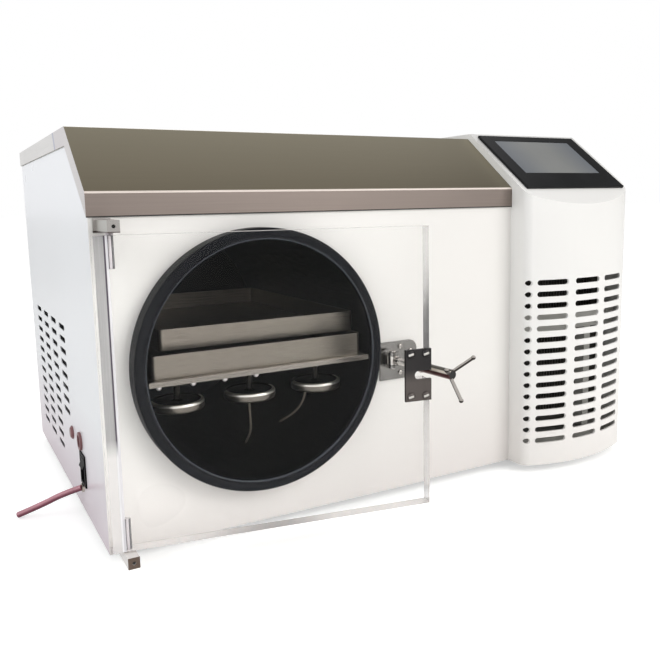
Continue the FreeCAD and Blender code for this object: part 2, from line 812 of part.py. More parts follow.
def draw_tower_plan(sketch, inset, rear):
    """Draw the tower's plan: two sides, a bowed front with rounded corners and a flat rear."""
    left, right = f"(main_width + {inset})", f"({TOWER_RIGHT} - {inset})"
    bow = f"(crown_radius - {inset})"
    rounds = (f"(tower_left_round - {inset})", f"(tower_right_round - {inset})")
    centre = ("main_width + crown_inset", "crown_radius - crown_depth")
    middle = FreeCAD.Vector(measure(centre[0]), measure(centre[1]), 0)
    sides, back = (measure(left), measure(right)), measure(rear)
    corners, angles = [], []
    for side, sign, formula in zip(sides, (1, -1), rounds):
        radius = measure(formula)
        across = side + sign * radius
        reach = math.sqrt((measure(bow) - radius) ** 2 - (across - middle.x) ** 2)
        corners.append((FreeCAD.Vector(across, middle.y - reach, 0), radius))
        angles.append(math.atan2(-reach, across - middle.x))
    (left_corner, left_radius), (right_corner, right_radius) = corners
    turn = 2 * math.pi
    for curve in (
            Part.LineSegment(FreeCAD.Vector(sides[0], back, 0),
                             FreeCAD.Vector(sides[0], left_corner.y, 0)),
            Part.ArcOfCircle(Part.Circle(left_corner, Z, left_radius), math.pi,
                             angles[0] + turn),
            Part.ArcOfCircle(Part.Circle(middle, Z, measure(bow)), angles[0] + turn,
                             angles[1] + turn),
            Part.ArcOfCircle(Part.Circle(right_corner, Z, right_radius), angles[1] + turn, turn),
            Part.LineSegment(FreeCAD.Vector(sides[1], right_corner.y, 0),
                             FreeCAD.Vector(sides[1], back, 0)),
            Part.LineSegment(FreeCAD.Vector(sides[1], back, 0),
                             FreeCAD.Vector(sides[0], back, 0))):
        sketch.addGeometry(curve)
    for index in range(4):
        sketch.addConstraint(Sketcher.Constraint("Tangent", index, 2, index + 1, 1))
    sketch.addConstraint(Sketcher.Constraint("Coincident", 4, 2, 5, 1))
    sketch.addConstraint(Sketcher.Constraint("Coincident", 5, 2, 0, 1))
    for kind, index in (("Vertical", 0), ("Vertical", 4), ("Horizontal", 5)):
        sketch.addConstraint(Sketcher.Constraint(kind, index))
    hold(sketch, 0, 1, (left, rear))
    hold(sketch, 4, 2, (right, None))
    hold(sketch, 2, 3, centre)
    for index, formula in zip((1, 2, 3), (rounds[0], bow, rounds[1])):
        hold_radius(sketch, index, formula)


def tower_block(name, inset, rear, bottom):
    """Return the tower as a solid block with its sloping top, inset all round."""
    body = new_body(name)
    plan = new_sketch(body, "XY", ("0", "0", bottom))
    draw_tower_plan(plan, inset, rear)
    pad(body, plan, f"{TOWER_TOP} - {inset} - {bottom}")

    def slope(back):
        return (f"({TOWER_FRONT_Z} + ({back} + crown_depth) * tan({TILT})"
                f" - {inset} / cos({TILT}))")

    front, back = "(-2 * crown_depth)", "(3 * crown_depth)"
    wedge = new_sketch(body, "YZ")
    draw_polygon(wedge, [(front, slope(front)), (back, slope(back)), (front, slope(back))])
    pocket_through(body, wedge)
    return body


def front_slots():
    """Return the cutter for the tower's front: rows of three slots and a round hole."""
    body = new_body("front_slots")
    sketch = new_sketch(body, "XZ", ("0", "0", "crown_depth / 3"))
    step = (f"(({TOWER_WIDTH} - front_slot_left - front_slot_right + front_slot_bar) / 3)")
    for column in range(3):
        left = f"(main_width + front_slot_left + {column} * {step})"
        draw_slot(sketch, left, f"{left} + {step} - front_slot_bar", "front_slot_bottom",
                  "front_slot_height")
    draw_circle(sketch, ("main_width + front_hole_inset", "front_slot_bottom"),
                "front_slot_height / 2")
    row = pad(body, sketch, "crown_depth")
    repeat_up(body, row, sketch, "front_slot_pitch", "front_slot_rows")
    return body


def slope_block(name, across, along, out, lengths):
    """Return a box that lies on the tower's slope."""
    item = loose_box(name, lengths)
    start = (f"main_width + ({across})",
             f"-crown_depth + ({along}) * cos({TILT}) - ({out}) * sin({TILT})",
             f"{TOWER_FRONT_Z} + ({along}) * sin({TILT}) + ({out}) * cos({TILT})")
    put(item, start, FreeCAD.Rotation(X, 1))
    item.setExpression("Placement.Rotation.Angle", bind("tower_tilt"))
    return item


def make_tower():
    """The white shell, its floor and the touch panel."""
    hollow = cut("tower_hollow", tower_block("tower_outside", "0", INSIDE_REAR, "0"),
                 tower_block("tower_inside", "tower_wall", "main_depth", "(-pan_wall)"))
    left = "touch_left_margin + housing_margin"
    along = "touch_front_margin + housing_margin"
    width = "touch_width - 2 * housing_margin"
    length = "touch_length - 2 * housing_margin"
    window = slope_block("panel_window", f"{left} - panel_fit", f"{along} - panel_fit",
                         "-housing_depth", (f"{width} + 2 * panel_fit",
                                            f"{length} + 2 * panel_fit", "2 * housing_depth"))
    shell = cut("tower_shell", hollow, window, front_slots())
    floor = new_body("tower_floor")
    plan = new_sketch(floor, "XY")
    draw_tower_plan(plan, "(tower_wall + panel_fit)", INSIDE_REAR)
    pad(floor, plan, "pan_sheet")

    display_left = "touch_left_margin + (touch_width - display_width) / 2"
    display_along = "touch_front_margin + touch_length - display_top_margin - display_length"
    frame = slope_block("bezel_blank", "touch_left_margin", "touch_front_margin", "0",
                        ("touch_width", "touch_length", "touch_thickness"))
    opening = slope_block("bezel_window", display_left, display_along, "-touch_thickness",
                          ("display_width", "display_length", "3 * touch_thickness"))
    bezel = cut("touch_panel_bezel", frame, opening)
    screen = slope_block("touch_panel_screen", f"{display_left} + panel_fit / 2",
                         f"{display_along} + panel_fit / 2",
                         "touch_thickness - display_recess - display_glass",
                         ("display_width - panel_fit", "display_length - panel_fit",
                          "display_glass"))
    housing = slope_block("touch_panel_housing", left, along, "-housing_depth",
                          (width, length, "housing_depth"))
    return [shell, floor, bezel, screen, housing]


# Vacuum chamber

def make_chamber():
    """The round chamber with its flange, door gasket, cooling coil, jacket and vacuum port."""
    centre = (CHAMBER_X, "0", CHAMBER_Z)
    port_hole = f"{PORT_RADIUS} + press_clearance"
    shell = turned("chamber_shell", "Y", centre,
                   [("chamber_radius", "-chamber_reach"), (SHELL_RADIUS, "-chamber_reach"),
                    (SHELL_RADIUS, CHAMBER_BACK), (port_hole, CHAMBER_BACK),
                    (port_hole, "chamber_depth"), ("chamber_radius", "chamber_depth")])
    lip = "chamber_radius - flange_lip"
    flange = turned("chamber_flange", "Y", centre,
                    [(lip, FLANGE_FRONT), (FLANGE_RADIUS, FLANGE_FRONT),
                     (FLANGE_RADIUS, "-chamber_reach"), (lip, "-chamber_reach")])
    inner, skirt = "chamber_radius - gasket_lip", f"{FLANGE_RADIUS} + panel_fit"
    gasket = turned("door_gasket", "Y", centre,
                    [(inner, GASKET_FRONT), (GASKET_RADIUS, GASKET_FRONT),
                     (GASKET_RADIUS, "-gasket_back"), (skirt, "-gasket_back"),
                     (skirt, GASKET_SEAT), (inner, GASKET_SEAT)])
    rear = f"{CHAMBER_BACK} + jacket_wall"
    jacket = turned("chamber_insulation", "Y", centre,
                    [(COIL_BED, "jacket_start"), (JACKET_RADIUS, "jacket_start"),
                     (JACKET_RADIUS, rear), (f"{PORT_RADIUS} + panel_fit", rear),
                     (f"{PORT_RADIUS} + panel_fit", f"{CHAMBER_BACK} + panel_fit"),
                     (COIL_BED, f"{CHAMBER_BACK} + panel_fit")])
    out = "main_depth + port_reach"
    port = turned("vacuum_port", "Y", centre,
                  [("port_bore", "chamber_depth"), (PORT_RADIUS, "chamber_depth"),
                   (PORT_RADIUS, f"{out} - 2 * port_flange_thickness"),
                   ("port_flange_radius", f"{out} - port_flange_thickness"),
                   ("port_flange_radius", out), ("port_bore", out)])
    return [shell, flange, gasket, jacket, port, make_evaporator_coil()]


def make_evaporator_coil():
    """The cooling tube wound round the outside of the chamber."""
    body = new_body("evaporator_coil")
    sketch = new_sketch(body, "XY", (CHAMBER_X, "0", CHAMBER_Z))
    draw_halves(sketch, (f"{SHELL_RADIUS} + coil_tube_radius + panel_fit", "coil_start"),
                "coil_tube_radius")
    coil = body.newObject("PartDesign::AdditiveHelix", "coil_turns")
    coil.Profile = sketch
    coil.ReferenceAxis = (sketch, ["V_Axis"])
    coil.Mode = "pitch-height-angle"
    coil.setExpression("Pitch", bind("coil_pitch"))
    coil.setExpression("Height", bind("coil_length"))
    return body


def tray(name, low, lengths):
    """Return an open sheet tray with rounded corners."""
    blocks = []
    for part, inset, lift in (("outside", "0", "0"), ("inside", "tray_sheet", "tray_sheet")):
        body = new_body(f"{name}_{part}")
        sketch = new_sketch(body, "XY", ("0", "0", f"{low[2]} + {lift}"))
        near = (f"{low[0]} + {inset}", f"{low[1]} + {inset}")
        far = (f"{low[0]} + {lengths[0]} - {inset}", f"{low[1]} + {lengths[1]} - {inset}")
        draw_rectangle(sketch, near, far)
        block = pad(body, sketch, lengths[2])
        round_edges(body, block, Z, f"tray_corner - {inset}")
        blocks.append(body)
    return cut(name, *blocks)


def make_rail(name, side):
    """Return a rail under one long edge of the shelf, cut to the chamber's round wall."""
    edge = f"({CHAMBER_X} + {side} * {SHELF_HALF})"
    start = f"{edge} - rail_overlap" if side > 0 else f"{edge} - rail_width + rail_overlap"
    bar = box(name + "_bar", (start, "rail_front", f"{SHELF_Z} - rail_thickness"),
              ("rail_width", "chamber_depth - shelf_back_gap - rail_front", "rail_thickness"))
    bore = cylinder(name + "_bore", (CHAMBER_X, "0", CHAMBER_Z), Y,
                    "chamber_radius - running_clearance", "chamber_depth")
    rail = doc.addObject("Part::Common", name)
    rail.Base, rail.Tool = bar, bore
    return rail


def make_heater(name, step):
    """Return a disc heater on its stud, under the shelf."""
    low = f"({SHELF_Z} - heater_drop)"
    return turned(name, "Z", (f"{CHAMBER_X} + {step} * heater_pitch", "heater_back", "0"),
                  [("0", low), ("heater_radius - heater_round", low),
                   ("heater_radius", f"{low} + heater_round"),
                   ("heater_radius", f"{low} + heater_thickness - heater_round"),
                   ("heater_radius - heater_round", f"{low} + heater_thickness"),
                   ("heater_stud_radius", f"{low} + heater_thickness"),
                   ("heater_stud_radius", SHELF_Z), ("0", SHELF_Z)])


def make_heater_leads():
    """The thin leads from the middle and right heaters down to the chamber's floor."""
    centre = measure_point((CHAMBER_X, "heater_back", CHAMBER_Z))
    underside = measure(f"{SHELF_Z} - heater_drop - {CHAMBER_Z} - lead_radius / 2")
    step = measure("heater_pitch")
    routes = [[(6, 20, underside), (9, 24, -88), (16, 40, -116), (18, 66, -140)],
              [(step - 4, 20, underside), (step - 7, 24, -82), (step - 14, 36, -99),
               (step - 28, 58, -116)]]
    wires = [tube(f"heater_lead_{number}", [centre + FreeCAD.Vector(*point) for point in route],
                  measure("lead_radius")) for number, route in enumerate(routes)]
    leads = doc.addObject("Part::Feature", "heater_leads")
    leads.Shape = Part.makeCompound(wires)
    return leads


def make_chamber_fittings():
    """The shelf on its rails, the trays that rest on it and the heaters under it."""
    shelf = box("shelf_plate", (f"{CHAMBER_X} - {SHELF_HALF}", "-shelf_front", SHELF_Z),
                (f"2 * {SHELF_HALF}", "chamber_depth + shelf_front - shelf_back_gap",
                 "shelf_thickness"))
    lower = tray("tray_lower",
                 (f"({CHAMBER_X} - {SHELF_HALF} + tray_side_fit)", "(-tray_lower_front)",
                  SHELF_TOP),
                 (f"(2 * {SHELF_HALF} - 2 * tray_side_fit)", "tray_lower_length",
                  "tray_lower_height"))
    upper = tray("tray_upper",
                 (f"({CHAMBER_X} - {TRAY_HALF} + tray_slide)", "tray_upper_back",
                  f"({SHELF_TOP} + tray_lower_height)"),
                 (f"(2 * {TRAY_HALF} - tray_slide)", "tray_upper_length", "tray_upper_height"))
    heaters = [make_heater(f"disc_heater_{name}", step)
               for name, step in (("left", -1), ("middle", 0), ("right", 1))]
    rails = [make_rail("shelf_rail_left", -1), make_rail("shelf_rail_right", 1)]
    return [shelf, *rails, lower, upper, *heaters, make_heater_leads()]


# Door and hinges

def plate_screw_seats():
    """Return the places of the latch plate's screws, on its front face."""
    middle = f"({DOOR_RIGHT} + latch_plate_outset - latch_plate_width / 2)"
    front = f"{DOOR_FRONT} - latch_plate_thickness"
    return [(f"{middle} + {across} * plate_screw_across / 2", front,
             f"{LATCH_Z} + {up} * plate_screw_up / 2") for across in (-1, 1) for up in (-1, 1)]


def side_notch(name, right, depth, height, low_y, length):
    """Return the cutter for a notch with a round end, open to the right."""
    end = f"({right} - {depth} + {height} / 2)"
    hollow = box(name + "_mouth", (end, low_y, f"{LATCH_Z} - {height} / 2"),
                 (depth, length, height))
    return fuse(name, hollow, cylinder(name + "_end", (end, low_y, LATCH_Z), Y,
                                       f"{height} / 2", length))


def make_door():
    """The clear door with its latch plate, closed."""
    slab = box("door_slab", (DOOR_LEFT, DOOR_FRONT, DOOR_BOTTOM),
               (f"{DOOR_RIGHT} - {DOOR_LEFT}", "door_thickness", f"{DOOR_TOP} - {DOOR_BOTTOM}"))
    bores = [cylinder(f"door_bore_{name}", (HINGE_X, HINGE_Y, start), Z,
                      "hinge_pin_radius + running_clearance", "2 * hinge_pin_depth")
             for name, start in (("top", f"{DOOR_TOP} - hinge_pin_depth - panel_fit"),
                                 ("bottom", f"{DOOR_BOTTOM} - hinge_pin_depth + panel_fit"))]
    notch = side_notch("door_notch", DOOR_RIGHT, "door_notch_depth", "door_notch_height",
                       DOOR_FRONT, "door_thickness")
    length = "plate_screw_length"
    holes = screw_holes("door", plate_screw_seats(), -Y, length)
    door = cut("door_panel", slab, *bores, notch, *holes)
    right = f"({DOOR_RIGHT} + latch_plate_outset)"
    front = f"({DOOR_FRONT} - latch_plate_thickness)"
    blank = box("plate_blank", (f"{right} - latch_plate_width", front,
                                f"{LATCH_Z} - latch_plate_height / 2"),
                ("latch_plate_width", "latch_plate_thickness", "latch_plate_height"))
    slot = side_notch("plate_slot", right, "latch_slot_depth", "latch_slot_height", front,
                      "latch_plate_thickness")
    holes = screw_holes("latch_plate", plate_screw_seats(), -Y, length)
    latch_plate = cut("latch_plate", blank, slot, *holes)
    return [door, latch_plate,
            screws("latch_plate_screws", plate_screw_seats(), -Y, length)]


def hinge_block(name, low_z):
    """Return a hinge block on its flange, bored for the pin and for the set screw."""
    block = box(name + "_arm", (f"{HINGE_X} - hinge_block_width / 2", "-hinge_block_reach", low_z),
                ("hinge_block_width", "hinge_block_reach", "hinge_block_height"))
    flange = box(name + "_flange",
                 (f"{HINGE_X} - hinge_flange_width / 2", "-hinge_flange_thickness",
                  f"{low_z} - hinge_flange_margin"),
                 ("hinge_flange_width", "hinge_flange_thickness",
                  "hinge_block_height + 2 * hinge_flange_margin"))
    bore = cylinder(name + "_bore", (HINGE_X, HINGE_Y, low_z), Z,
                    "hinge_pin_radius + press_clearance", "hinge_block_height")
    hole = cylinder(name + "_hole",
                    (HINGE_X, "-hinge_block_reach", f"{low_z} + hinge_block_height / 2"), Y,
                    "set_screw_radius + press_clearance", f"hinge_block_reach + {HINGE_Y}")
    return cut(name, fuse(name + "_blank", block, flange), bore, hole)


def make_hinges():
    """The two hinge blocks with their pins, set screws and the washer under the door."""
    top_z = f"({DOOR_TOP} + hinge_gap)"
    washer_z = f"({DOOR_BOTTOM} - 0.5 * panel_fit - hinge_washer_thickness)"
    bottom_z = f"({washer_z} - hinge_block_height)"
    axis_place = (HINGE_X, HINGE_Y)
    top_pin = cylinder("hinge_pin_top", (*axis_place, f"{DOOR_TOP} - hinge_pin_depth"), Z,
                       "hinge_pin_radius", "hinge_pin_depth + hinge_gap + hinge_block_height")
    bottom_pin = cylinder("hinge_pin_bottom", (*axis_place, bottom_z), Z, "hinge_pin_radius",
                          f"{DOOR_BOTTOM} + hinge_pin_depth - {bottom_z}")
    ring = turned("hinge_washer", "Z", (*axis_place, "0"),
                  [("hinge_pin_radius + running_clearance", washer_z),
                   ("hinge_washer_radius", washer_z),
                   ("hinge_washer_radius", f"{washer_z} + hinge_washer_thickness"),
                   ("hinge_pin_radius + running_clearance",
                    f"{washer_z} + hinge_washer_thickness")])
    set_screws = [
        cylinder(f"set_screw_{name}",
                 (HINGE_X, "-hinge_block_reach + set_screw_recess",
                  f"{low_z} + hinge_block_height / 2"), Y, "set_screw_radius",
                 f"hinge_block_reach - set_screw_recess + {HINGE_Y} - hinge_pin_radius"
                 " - panel_fit")
        for name, low_z in (("top", top_z), ("bottom", bottom_z))]
    return [hinge_block("hinge_block_top", top_z), hinge_block("hinge_block_bottom", bottom_z),
            top_pin, bottom_pin, ring, group("hinge_set_screws", set_screws)]


# Latch

def bracket_screw_seats():
    """Return the places of the latch bracket's screws."""
    return [(f"{LATCH_X} + {across}", "-bracket_thickness", f"{LATCH_Z} + {up}")
            for across, up in (("bracket_screw_near", "bracket_screw_top"),
                               ("bracket_screw_near", "(-bracket_screw_bottom)"),
                               ("bracket_screw_far", "bracket_screw_upper"),
                               ("bracket_screw_far", "(-bracket_screw_lower)"))]


def make_bracket():
    """The latch bracket: a plate with two ears for the pivot pin, and its screws."""
    body = plate("bracket_plate", "XZ", "0", "bracket_thickness",
                 [(f"{LATCH_X} - bracket_left", f"{LATCH_Z} - bracket_down"),
                  (f"{LATCH_X} + bracket_right", f"{LATCH_Z} - bracket_down"),
                  (f"{LATCH_X} + bracket_right", f"{LATCH_Z} + bracket_up"),
                  (f"{LATCH_X} - bracket_left", f"{LATCH_Z} + bracket_up")])
    doc.recompute()
    middle = measure(LATCH_X)
    round_edges(body, body.Tip, Y, "bracket_round",
                lambda edge: edge.CenterOfMass.x > middle)
    offset = "(latch_eye_height / 2 + ear_gap)"
    ears = []
    for name, low in (("upper", f"{LATCH_Z} + {offset}"),
                      ("lower", f"{LATCH_Z} - {offset} - ear_thickness")):
        ears += [box(f"ear_{name}_web", (f"{LATCH_X} - latch_eye_radius", LATCH_Y, low),
                     ("2 * latch_eye_radius", "latch_pivot_reach - bracket_thickness / 2",
                      "ear_thickness")),
                 cylinder(f"ear_{name}_round", (LATCH_X, LATCH_Y, low), Z, "latch_eye_radius",
                          "ear_thickness")]
    bore = cylinder("bracket_bore", (LATCH_X, LATCH_Y, f"{LATCH_Z} - latch_eye_height * 2"), Z,
                    "latch_pin_radius + press_clearance", "latch_eye_height * 4")
    holes = screw_holes("bracket", bracket_screw_seats(), -Y, "bracket_screw_length")
    bracket = cut("latch_bracket", fuse("bracket_blank", body, *ears), bore, *holes)
    half = f"({offset} + ear_thickness)"
    pin = turned("latch_pivot_pin", "Z", (LATCH_X, LATCH_Y, "0"),
                 [("0", f"{LATCH_Z} - {half} - latch_pin_overhang"),
                  ("latch_pin_radius", f"{LATCH_Z} - {half} - latch_pin_overhang"),
                  ("latch_pin_radius", f"{LATCH_Z} + {half}"),
                  ("latch_pin_head_radius", f"{LATCH_Z} + {half}"),
                  ("latch_pin_head_radius", f"{LATCH_Z} + {half} + latch_pin_overhang"),
                  ("0", f"{LATCH_Z} + {half} + latch_pin_overhang")])
    return [bracket, pin,
            screws("latch_bracket_screws", bracket_screw_seats(), -Y, "bracket_screw_length")]


def along_bolt(distance):
    """Return the place at a distance along the swing bolt, pointing straight out."""
    return (LATCH_X, f"{LATCH_Y} - ({distance})", LATCH_Z)


def make_swing_bolt():
    """The swing bolt, an eye on the pivot pin with a round shank, pointing straight out."""
    eye = cylinder("bolt_eye", (LATCH_X, LATCH_Y, f"{LATCH_Z} - latch_eye_height / 2"), Z,
                   "latch_eye_radius", "latch_eye_height")
    shank = cylinder("bolt_shank", along_bolt("latch_eye_radius / 2"), -Y, "bolt_radius",
                     "bolt_length - latch_eye_radius / 2")
    bore = cylinder("bolt_bore", (LATCH_X, LATCH_Y, f"{LATCH_Z} - latch_eye_height"), Z,
                    "latch_pin_radius + running_clearance", "2 * latch_eye_height")
    return cut("swing_bolt", fuse("bolt_blank", eye, shank), bore)


def make_thrust_washer():
    """The washer that the knob pushes along the bolt."""
    face = f"({LATCH_Y} - knob_start + washer_gap)"
    hole = "bolt_radius + 2 * running_clearance"
    return turned("thrust_washer", "Y", (LATCH_X, "0", LATCH_Z),
                  [(hole, face), ("washer_radius", face),
                   ("washer_radius", f"{face} + washer_thickness"),
                   (hole, f"{face} + washer_thickness")])


def make_knob():
    """The knob: a hub bored for the bolt and three slanted arms with round ends."""
    front, back = f"({LATCH_Y} - {KNOB_END})", f"({LATCH_Y} - knob_start)"
    bore, floor = "bolt_radius + running_clearance", f"{front} + knob_end_wall"
    blank = turned("knob_blank", "Y", (LATCH_X, "0", LATCH_Z),
                   [("0", front), ("knob_radius - knob_edge", front),
                    ("knob_radius", f"{front} + knob_edge"), ("knob_radius", back),
                    (bore, back), (bore, floor), ("0", floor)])
    arms = []
    rise, run = measure("arm_spread - arm_root"), measure("arm_advance + arm_root_back")
    for number, angle in enumerate(ARM_ANGLES):
        outward = FreeCAD.Vector(math.cos(math.radians(angle)), 0, math.sin(math.radians(angle)))
        start = move(move(along_bolt(f"{KNOB_END} - arm_root_back"), X, f"{outward.x} * arm_root"),
                     Z, f"{outward.z} * arm_root")
        end = move(move(along_bolt(f"{KNOB_END} + arm_advance"), X, f"{outward.x} * arm_spread"),
                   Z, f"{outward.z} * arm_spread")
        rod = cylinder(f"arm_rod_{number}", start, outward * rise - Y * run, "arm_radius",
                       "sqrt((arm_spread - arm_root) ^ 2 + (arm_advance + arm_root_back) ^ 2)")
        arms.append(fuse(f"arm_{number}", rod, ball(f"arm_ball_{number}", end,
                                                    "arm_ball_radius")))
    knob_arms = group("knob_arms", arms)
    return [cut("knob_hub", blank, knob_arms), knob_arms]


# Left side fittings

def make_power_inlet():
    """The mains inlet with its three blades and the opening for the rocker switch."""
    rim = "inlet_rim"
    flange = box("inlet_face", ("-inlet_flange", "inlet_front", "inlet_bottom"),
                 ("inlet_flange", "inlet_width", "inlet_height"))
    body = box("inlet_body", ("-inlet_flange / 2", f"inlet_front + {rim}", f"inlet_bottom + {rim}"),
               ("inlet_depth", f"inlet_width - 2 * {rim}", f"inlet_height - 2 * {rim}"))
    socket_front = "inlet_front + (inlet_width - socket_width) / 2"
    socket = box("inlet_socket", ("-inlet_flange", socket_front, "inlet_bottom + socket_margin"),
                 ("socket_depth", "socket_width", "socket_height"))
    opening = box("rocker_opening",
                  ("-inlet_flange", f"{ROCKER_Y} - rocker_width / 2 - panel_fit",
                   f"{ROCKER_Z} - rocker_height / 2 - rocker_end_fit"),
                  ("socket_depth", "rocker_width + 2 * panel_fit",
                   "rocker_height + 2 * rocker_end_fit"))
    hollow = cut("inlet_hollow", fuse("inlet_blank", flange, body), socket, opening)
    blades = [box(f"inlet_blade_{number}",
                  ("socket_depth - inlet_flange - blade_length",
                   f"inlet_front + (inlet_width - blade_thickness) / 2 + {across}",
                   f"inlet_bottom + socket_margin + (socket_height - blade_height) / 2 + {up}"),
                  ("blade_length + inlet_flange", "blade_thickness", "blade_height"))
              for number, (across, up) in enumerate((("(-blade_across)", "(-blade_drop)"),
                                                     ("blade_across", "(-blade_drop)"),
                                                     ("0", "earth_blade_rise")))]
    return fuse("power_inlet", hollow, *blades)


def make_rocker():
    """The rocker of the mains switch, level."""
    low, high = f"{ROCKER_Z} - rocker_height / 2", f"{ROCKER_Z} + rocker_height / 2"
    return plate("power_switch_rocker", "XZ", f"-({ROCKER_Y}) - rocker_width / 2",
                 "rocker_width",
                 [("-rocker_proud", low), ("rocker_depth", f"{low} + rocker_taper"),
                  ("rocker_depth", f"{high} - rocker_taper"), ("-rocker_proud", high),
                  ("-rocker_middle_proud", ROCKER_Z)])


def make_side_fittings():
    """The pump's socket, the fuse holder and the drain nipple."""
    socket = turned("pump_socket", "X", ("0", "pump_socket_back", "pump_socket_up"),
                    [("pump_socket_bore", "-pump_socket_rim"),
                     ("pump_socket_radius", "-pump_socket_rim"), ("pump_socket_radius", "0"),
                     ("pump_socket_neck", "0"), ("pump_socket_neck", "pump_socket_depth"),
                     ("0", "pump_socket_depth"), ("0", "pump_socket_recess"),
                     ("pump_socket_bore", "pump_socket_recess")])
    fuse_holder = turned("fuse_holder", "X", ("0", "fuse_back", "fuse_up"),
                         [("0", "-fuse_cap_reach"),
                          ("fuse_cap_radius - fuse_cap_edge", "-fuse_cap_reach"),
                          ("fuse_cap_radius", "-fuse_cap_reach + fuse_cap_edge"),
                          ("fuse_cap_radius", "-fuse_rim"), ("fuse_radius", "-fuse_rim"),
                          ("fuse_radius", "0"), ("fuse_neck", "0"), ("fuse_neck", "fuse_depth"),
                          ("0", "fuse_depth")])
    nipple = turned("drain_nipple", "X", ("0", "nipple_back", "nipple_up"),
                    [("nipple_bore", NIPPLE[0]), ("nipple_collar_radius", NIPPLE[0]),
                     ("nipple_collar_radius", "0"), ("nipple_radius", "0"),
                     ("nipple_radius", "nipple_depth"), ("nipple_bore", "nipple_depth")])
    return [make_power_inlet(), socket, fuse_holder, nipple]


def make_drain_hose():
    """The drain hose, from the nipple's face down to the surface that the feet stand on."""
    start = measure_point(NIPPLE)
    route = [(2.4, -1.6, 1), (-21, 13.8, -8.5), (-47, 34.3, -26), (-74, 53.3, -40.4)]
    radius = measure("hose_radius")
    rod = tube("drain_hose", [start + FreeCAD.Vector(*point) for point in route], radius)
    beyond = Part.makeBox(2 * radius, 4 * radius, 4 * radius,
                          start - FreeCAD.Vector(0, 2 * radius, 2 * radius))
    hose = doc.addObject("Part::Feature", "drain_hose")
    hose.Shape = rod.cut(beyond)
    return hose


# Refrigeration and control

def make_compressor():
    """The hermetic compressor, on the cabinet's floor beside the chamber."""
    bends = [(f"{wide} * compressor_radius", f"pan_sheet + {high} * compressor_height")
             for wide, high in COMPRESSOR_BENDS]
    return turned("compressor", "Z",
                  (f"({CHAMBER_X} + {JACKET_RADIUS} + main_width) / 2", "compressor_back", "0"),
                  [("0", "pan_sheet"), *bends, ("0", "pan_sheet + compressor_height")])


def make_radiator():
    """The condenser: an aluminium block with upright gaps between its fins."""
    body = new_body("condenser_radiator")
    left, right = "(main_width + radiator_margin)", f"({TOWER_RIGHT} - radiator_margin)"
    top = "(radiator_bottom + radiator_height)"
    sketch = new_sketch(body, "XZ", ("0", "0", "-radiator_front - radiator_depth"))
    draw_rectangle(sketch, (left, "radiator_bottom"), (right, top))
    pad(body, sketch, "radiator_depth")
    gap = new_sketch(body, "XZ")
    edge = f"({left} + radiator_edge)"
    draw_rectangle(gap, (edge, "radiator_bottom + radiator_edge"),
                   (f"{edge} + fin_slot", f"{top} - radiator_edge"))
    first = pocket_through(body, gap)
    pattern = body.newObject("PartDesign::LinearPattern", "radiator_gaps")
    pattern.Originals = [first]
    pattern.Direction = (gap, ["H_Axis"])
    count = f"floor(({TOWER_WIDTH} - 2 * radiator_margin - 2 * radiator_edge) / fin_pitch)"
    pattern.setExpression("Occurrences", bind(count))
    pattern.setExpression("Length", bind(f"({count} - 1) * fin_pitch"))
    body.Tip = pattern
    return body


def make_fan():
    """The condenser fan: a square frame with struts, its motor and a five-bladed rotor."""
    centre = (TOWER_MIDDLE, "0", "fan_up")
    frame_box = box("fan_square", (f"{TOWER_MIDDLE} - fan_half", "fan_back", "fan_up - fan_half"),
                    ("2 * fan_half", "fan_depth", "2 * fan_half"))
    bore = cylinder("fan_bore_cut", (TOWER_MIDDLE, "fan_back", "fan_up"), Y, "fan_bore",
                    "fan_depth")
    rear, reach = "(fan_back + fan_depth)", "(fan_bore + fan_strut_overlap)"
    struts = [box(f"fan_strut_{name}", low, lengths) for name, low, lengths in (
        ("level", (f"{TOWER_MIDDLE} - {reach}", f"{rear} - fan_strut", "fan_up - fan_strut / 2"),
         (f"2 * {reach}", "fan_strut", "fan_strut")),
        ("upright", (f"{TOWER_MIDDLE} - fan_strut / 2", f"{rear} - fan_strut",
                     f"fan_up - {reach}"), ("fan_strut", "fan_strut", f"2 * {reach}")))]
    passage = cylinder("fan_shaft_cut", (TOWER_MIDDLE, "fan_back", "fan_up"), Y,
                       "fan_shaft_radius + 2 * panel_fit", "2 * fan_depth")
    frame = cut("fan_frame", fuse("fan_blank", cut("fan_ring", frame_box, bore), *struts),
                passage)
    hub_start, hub_end = "(fan_back + fan_hub_setback)", f"({rear} - fan_strut - fan_hub_gap)"
    motor = turned("fan_motor", "Y", centre,
                   [("0", hub_start), ("fan_shaft_radius", hub_start),
                    ("fan_shaft_radius", rear), ("fan_motor_radius", rear),
                    ("fan_motor_radius", f"{rear} + fan_motor_length"),
                    ("0", f"{rear} + fan_motor_length")])
    hub = turned("fan_hub", "Y", centre,
                 [("fan_shaft_radius + running_clearance", hub_start),
                  ("fan_hub_radius", hub_start), ("fan_hub_radius", hub_end),
                  ("fan_shaft_radius + running_clearance", hub_end)])
    blades = []
    root = (measure("-fan_blade_width / 2"), measure("-fan_blade_thickness / 2"),
            measure("fan_hub_radius - fan_blade_root"))
    middle = measure_point((TOWER_MIDDLE, f"({hub_start} + {hub_end}) / 2", "fan_up"))
    for number in range(FAN_BLADES):
        blade = loose_box(f"fan_blade_{number}",
                          ("fan_blade_width", "fan_blade_thickness",
                           "fan_bore - fan_tip_clearance - fan_hub_radius + fan_blade_root"))
        turn = FreeCAD.Placement(middle, FreeCAD.Rotation(Y, 360 / FAN_BLADES * number))
        twist = FreeCAD.Placement(FreeCAD.Vector(), FreeCAD.Rotation(Z, measure("fan_twist")))
        blade.Placement = turn.multiply(twist).multiply(FreeCAD.Placement(
            FreeCAD.Vector(*root), FreeCAD.Rotation()))
        blades.append(blade)
    return [frame, motor], fuse("fan_rotor", hub, *blades)


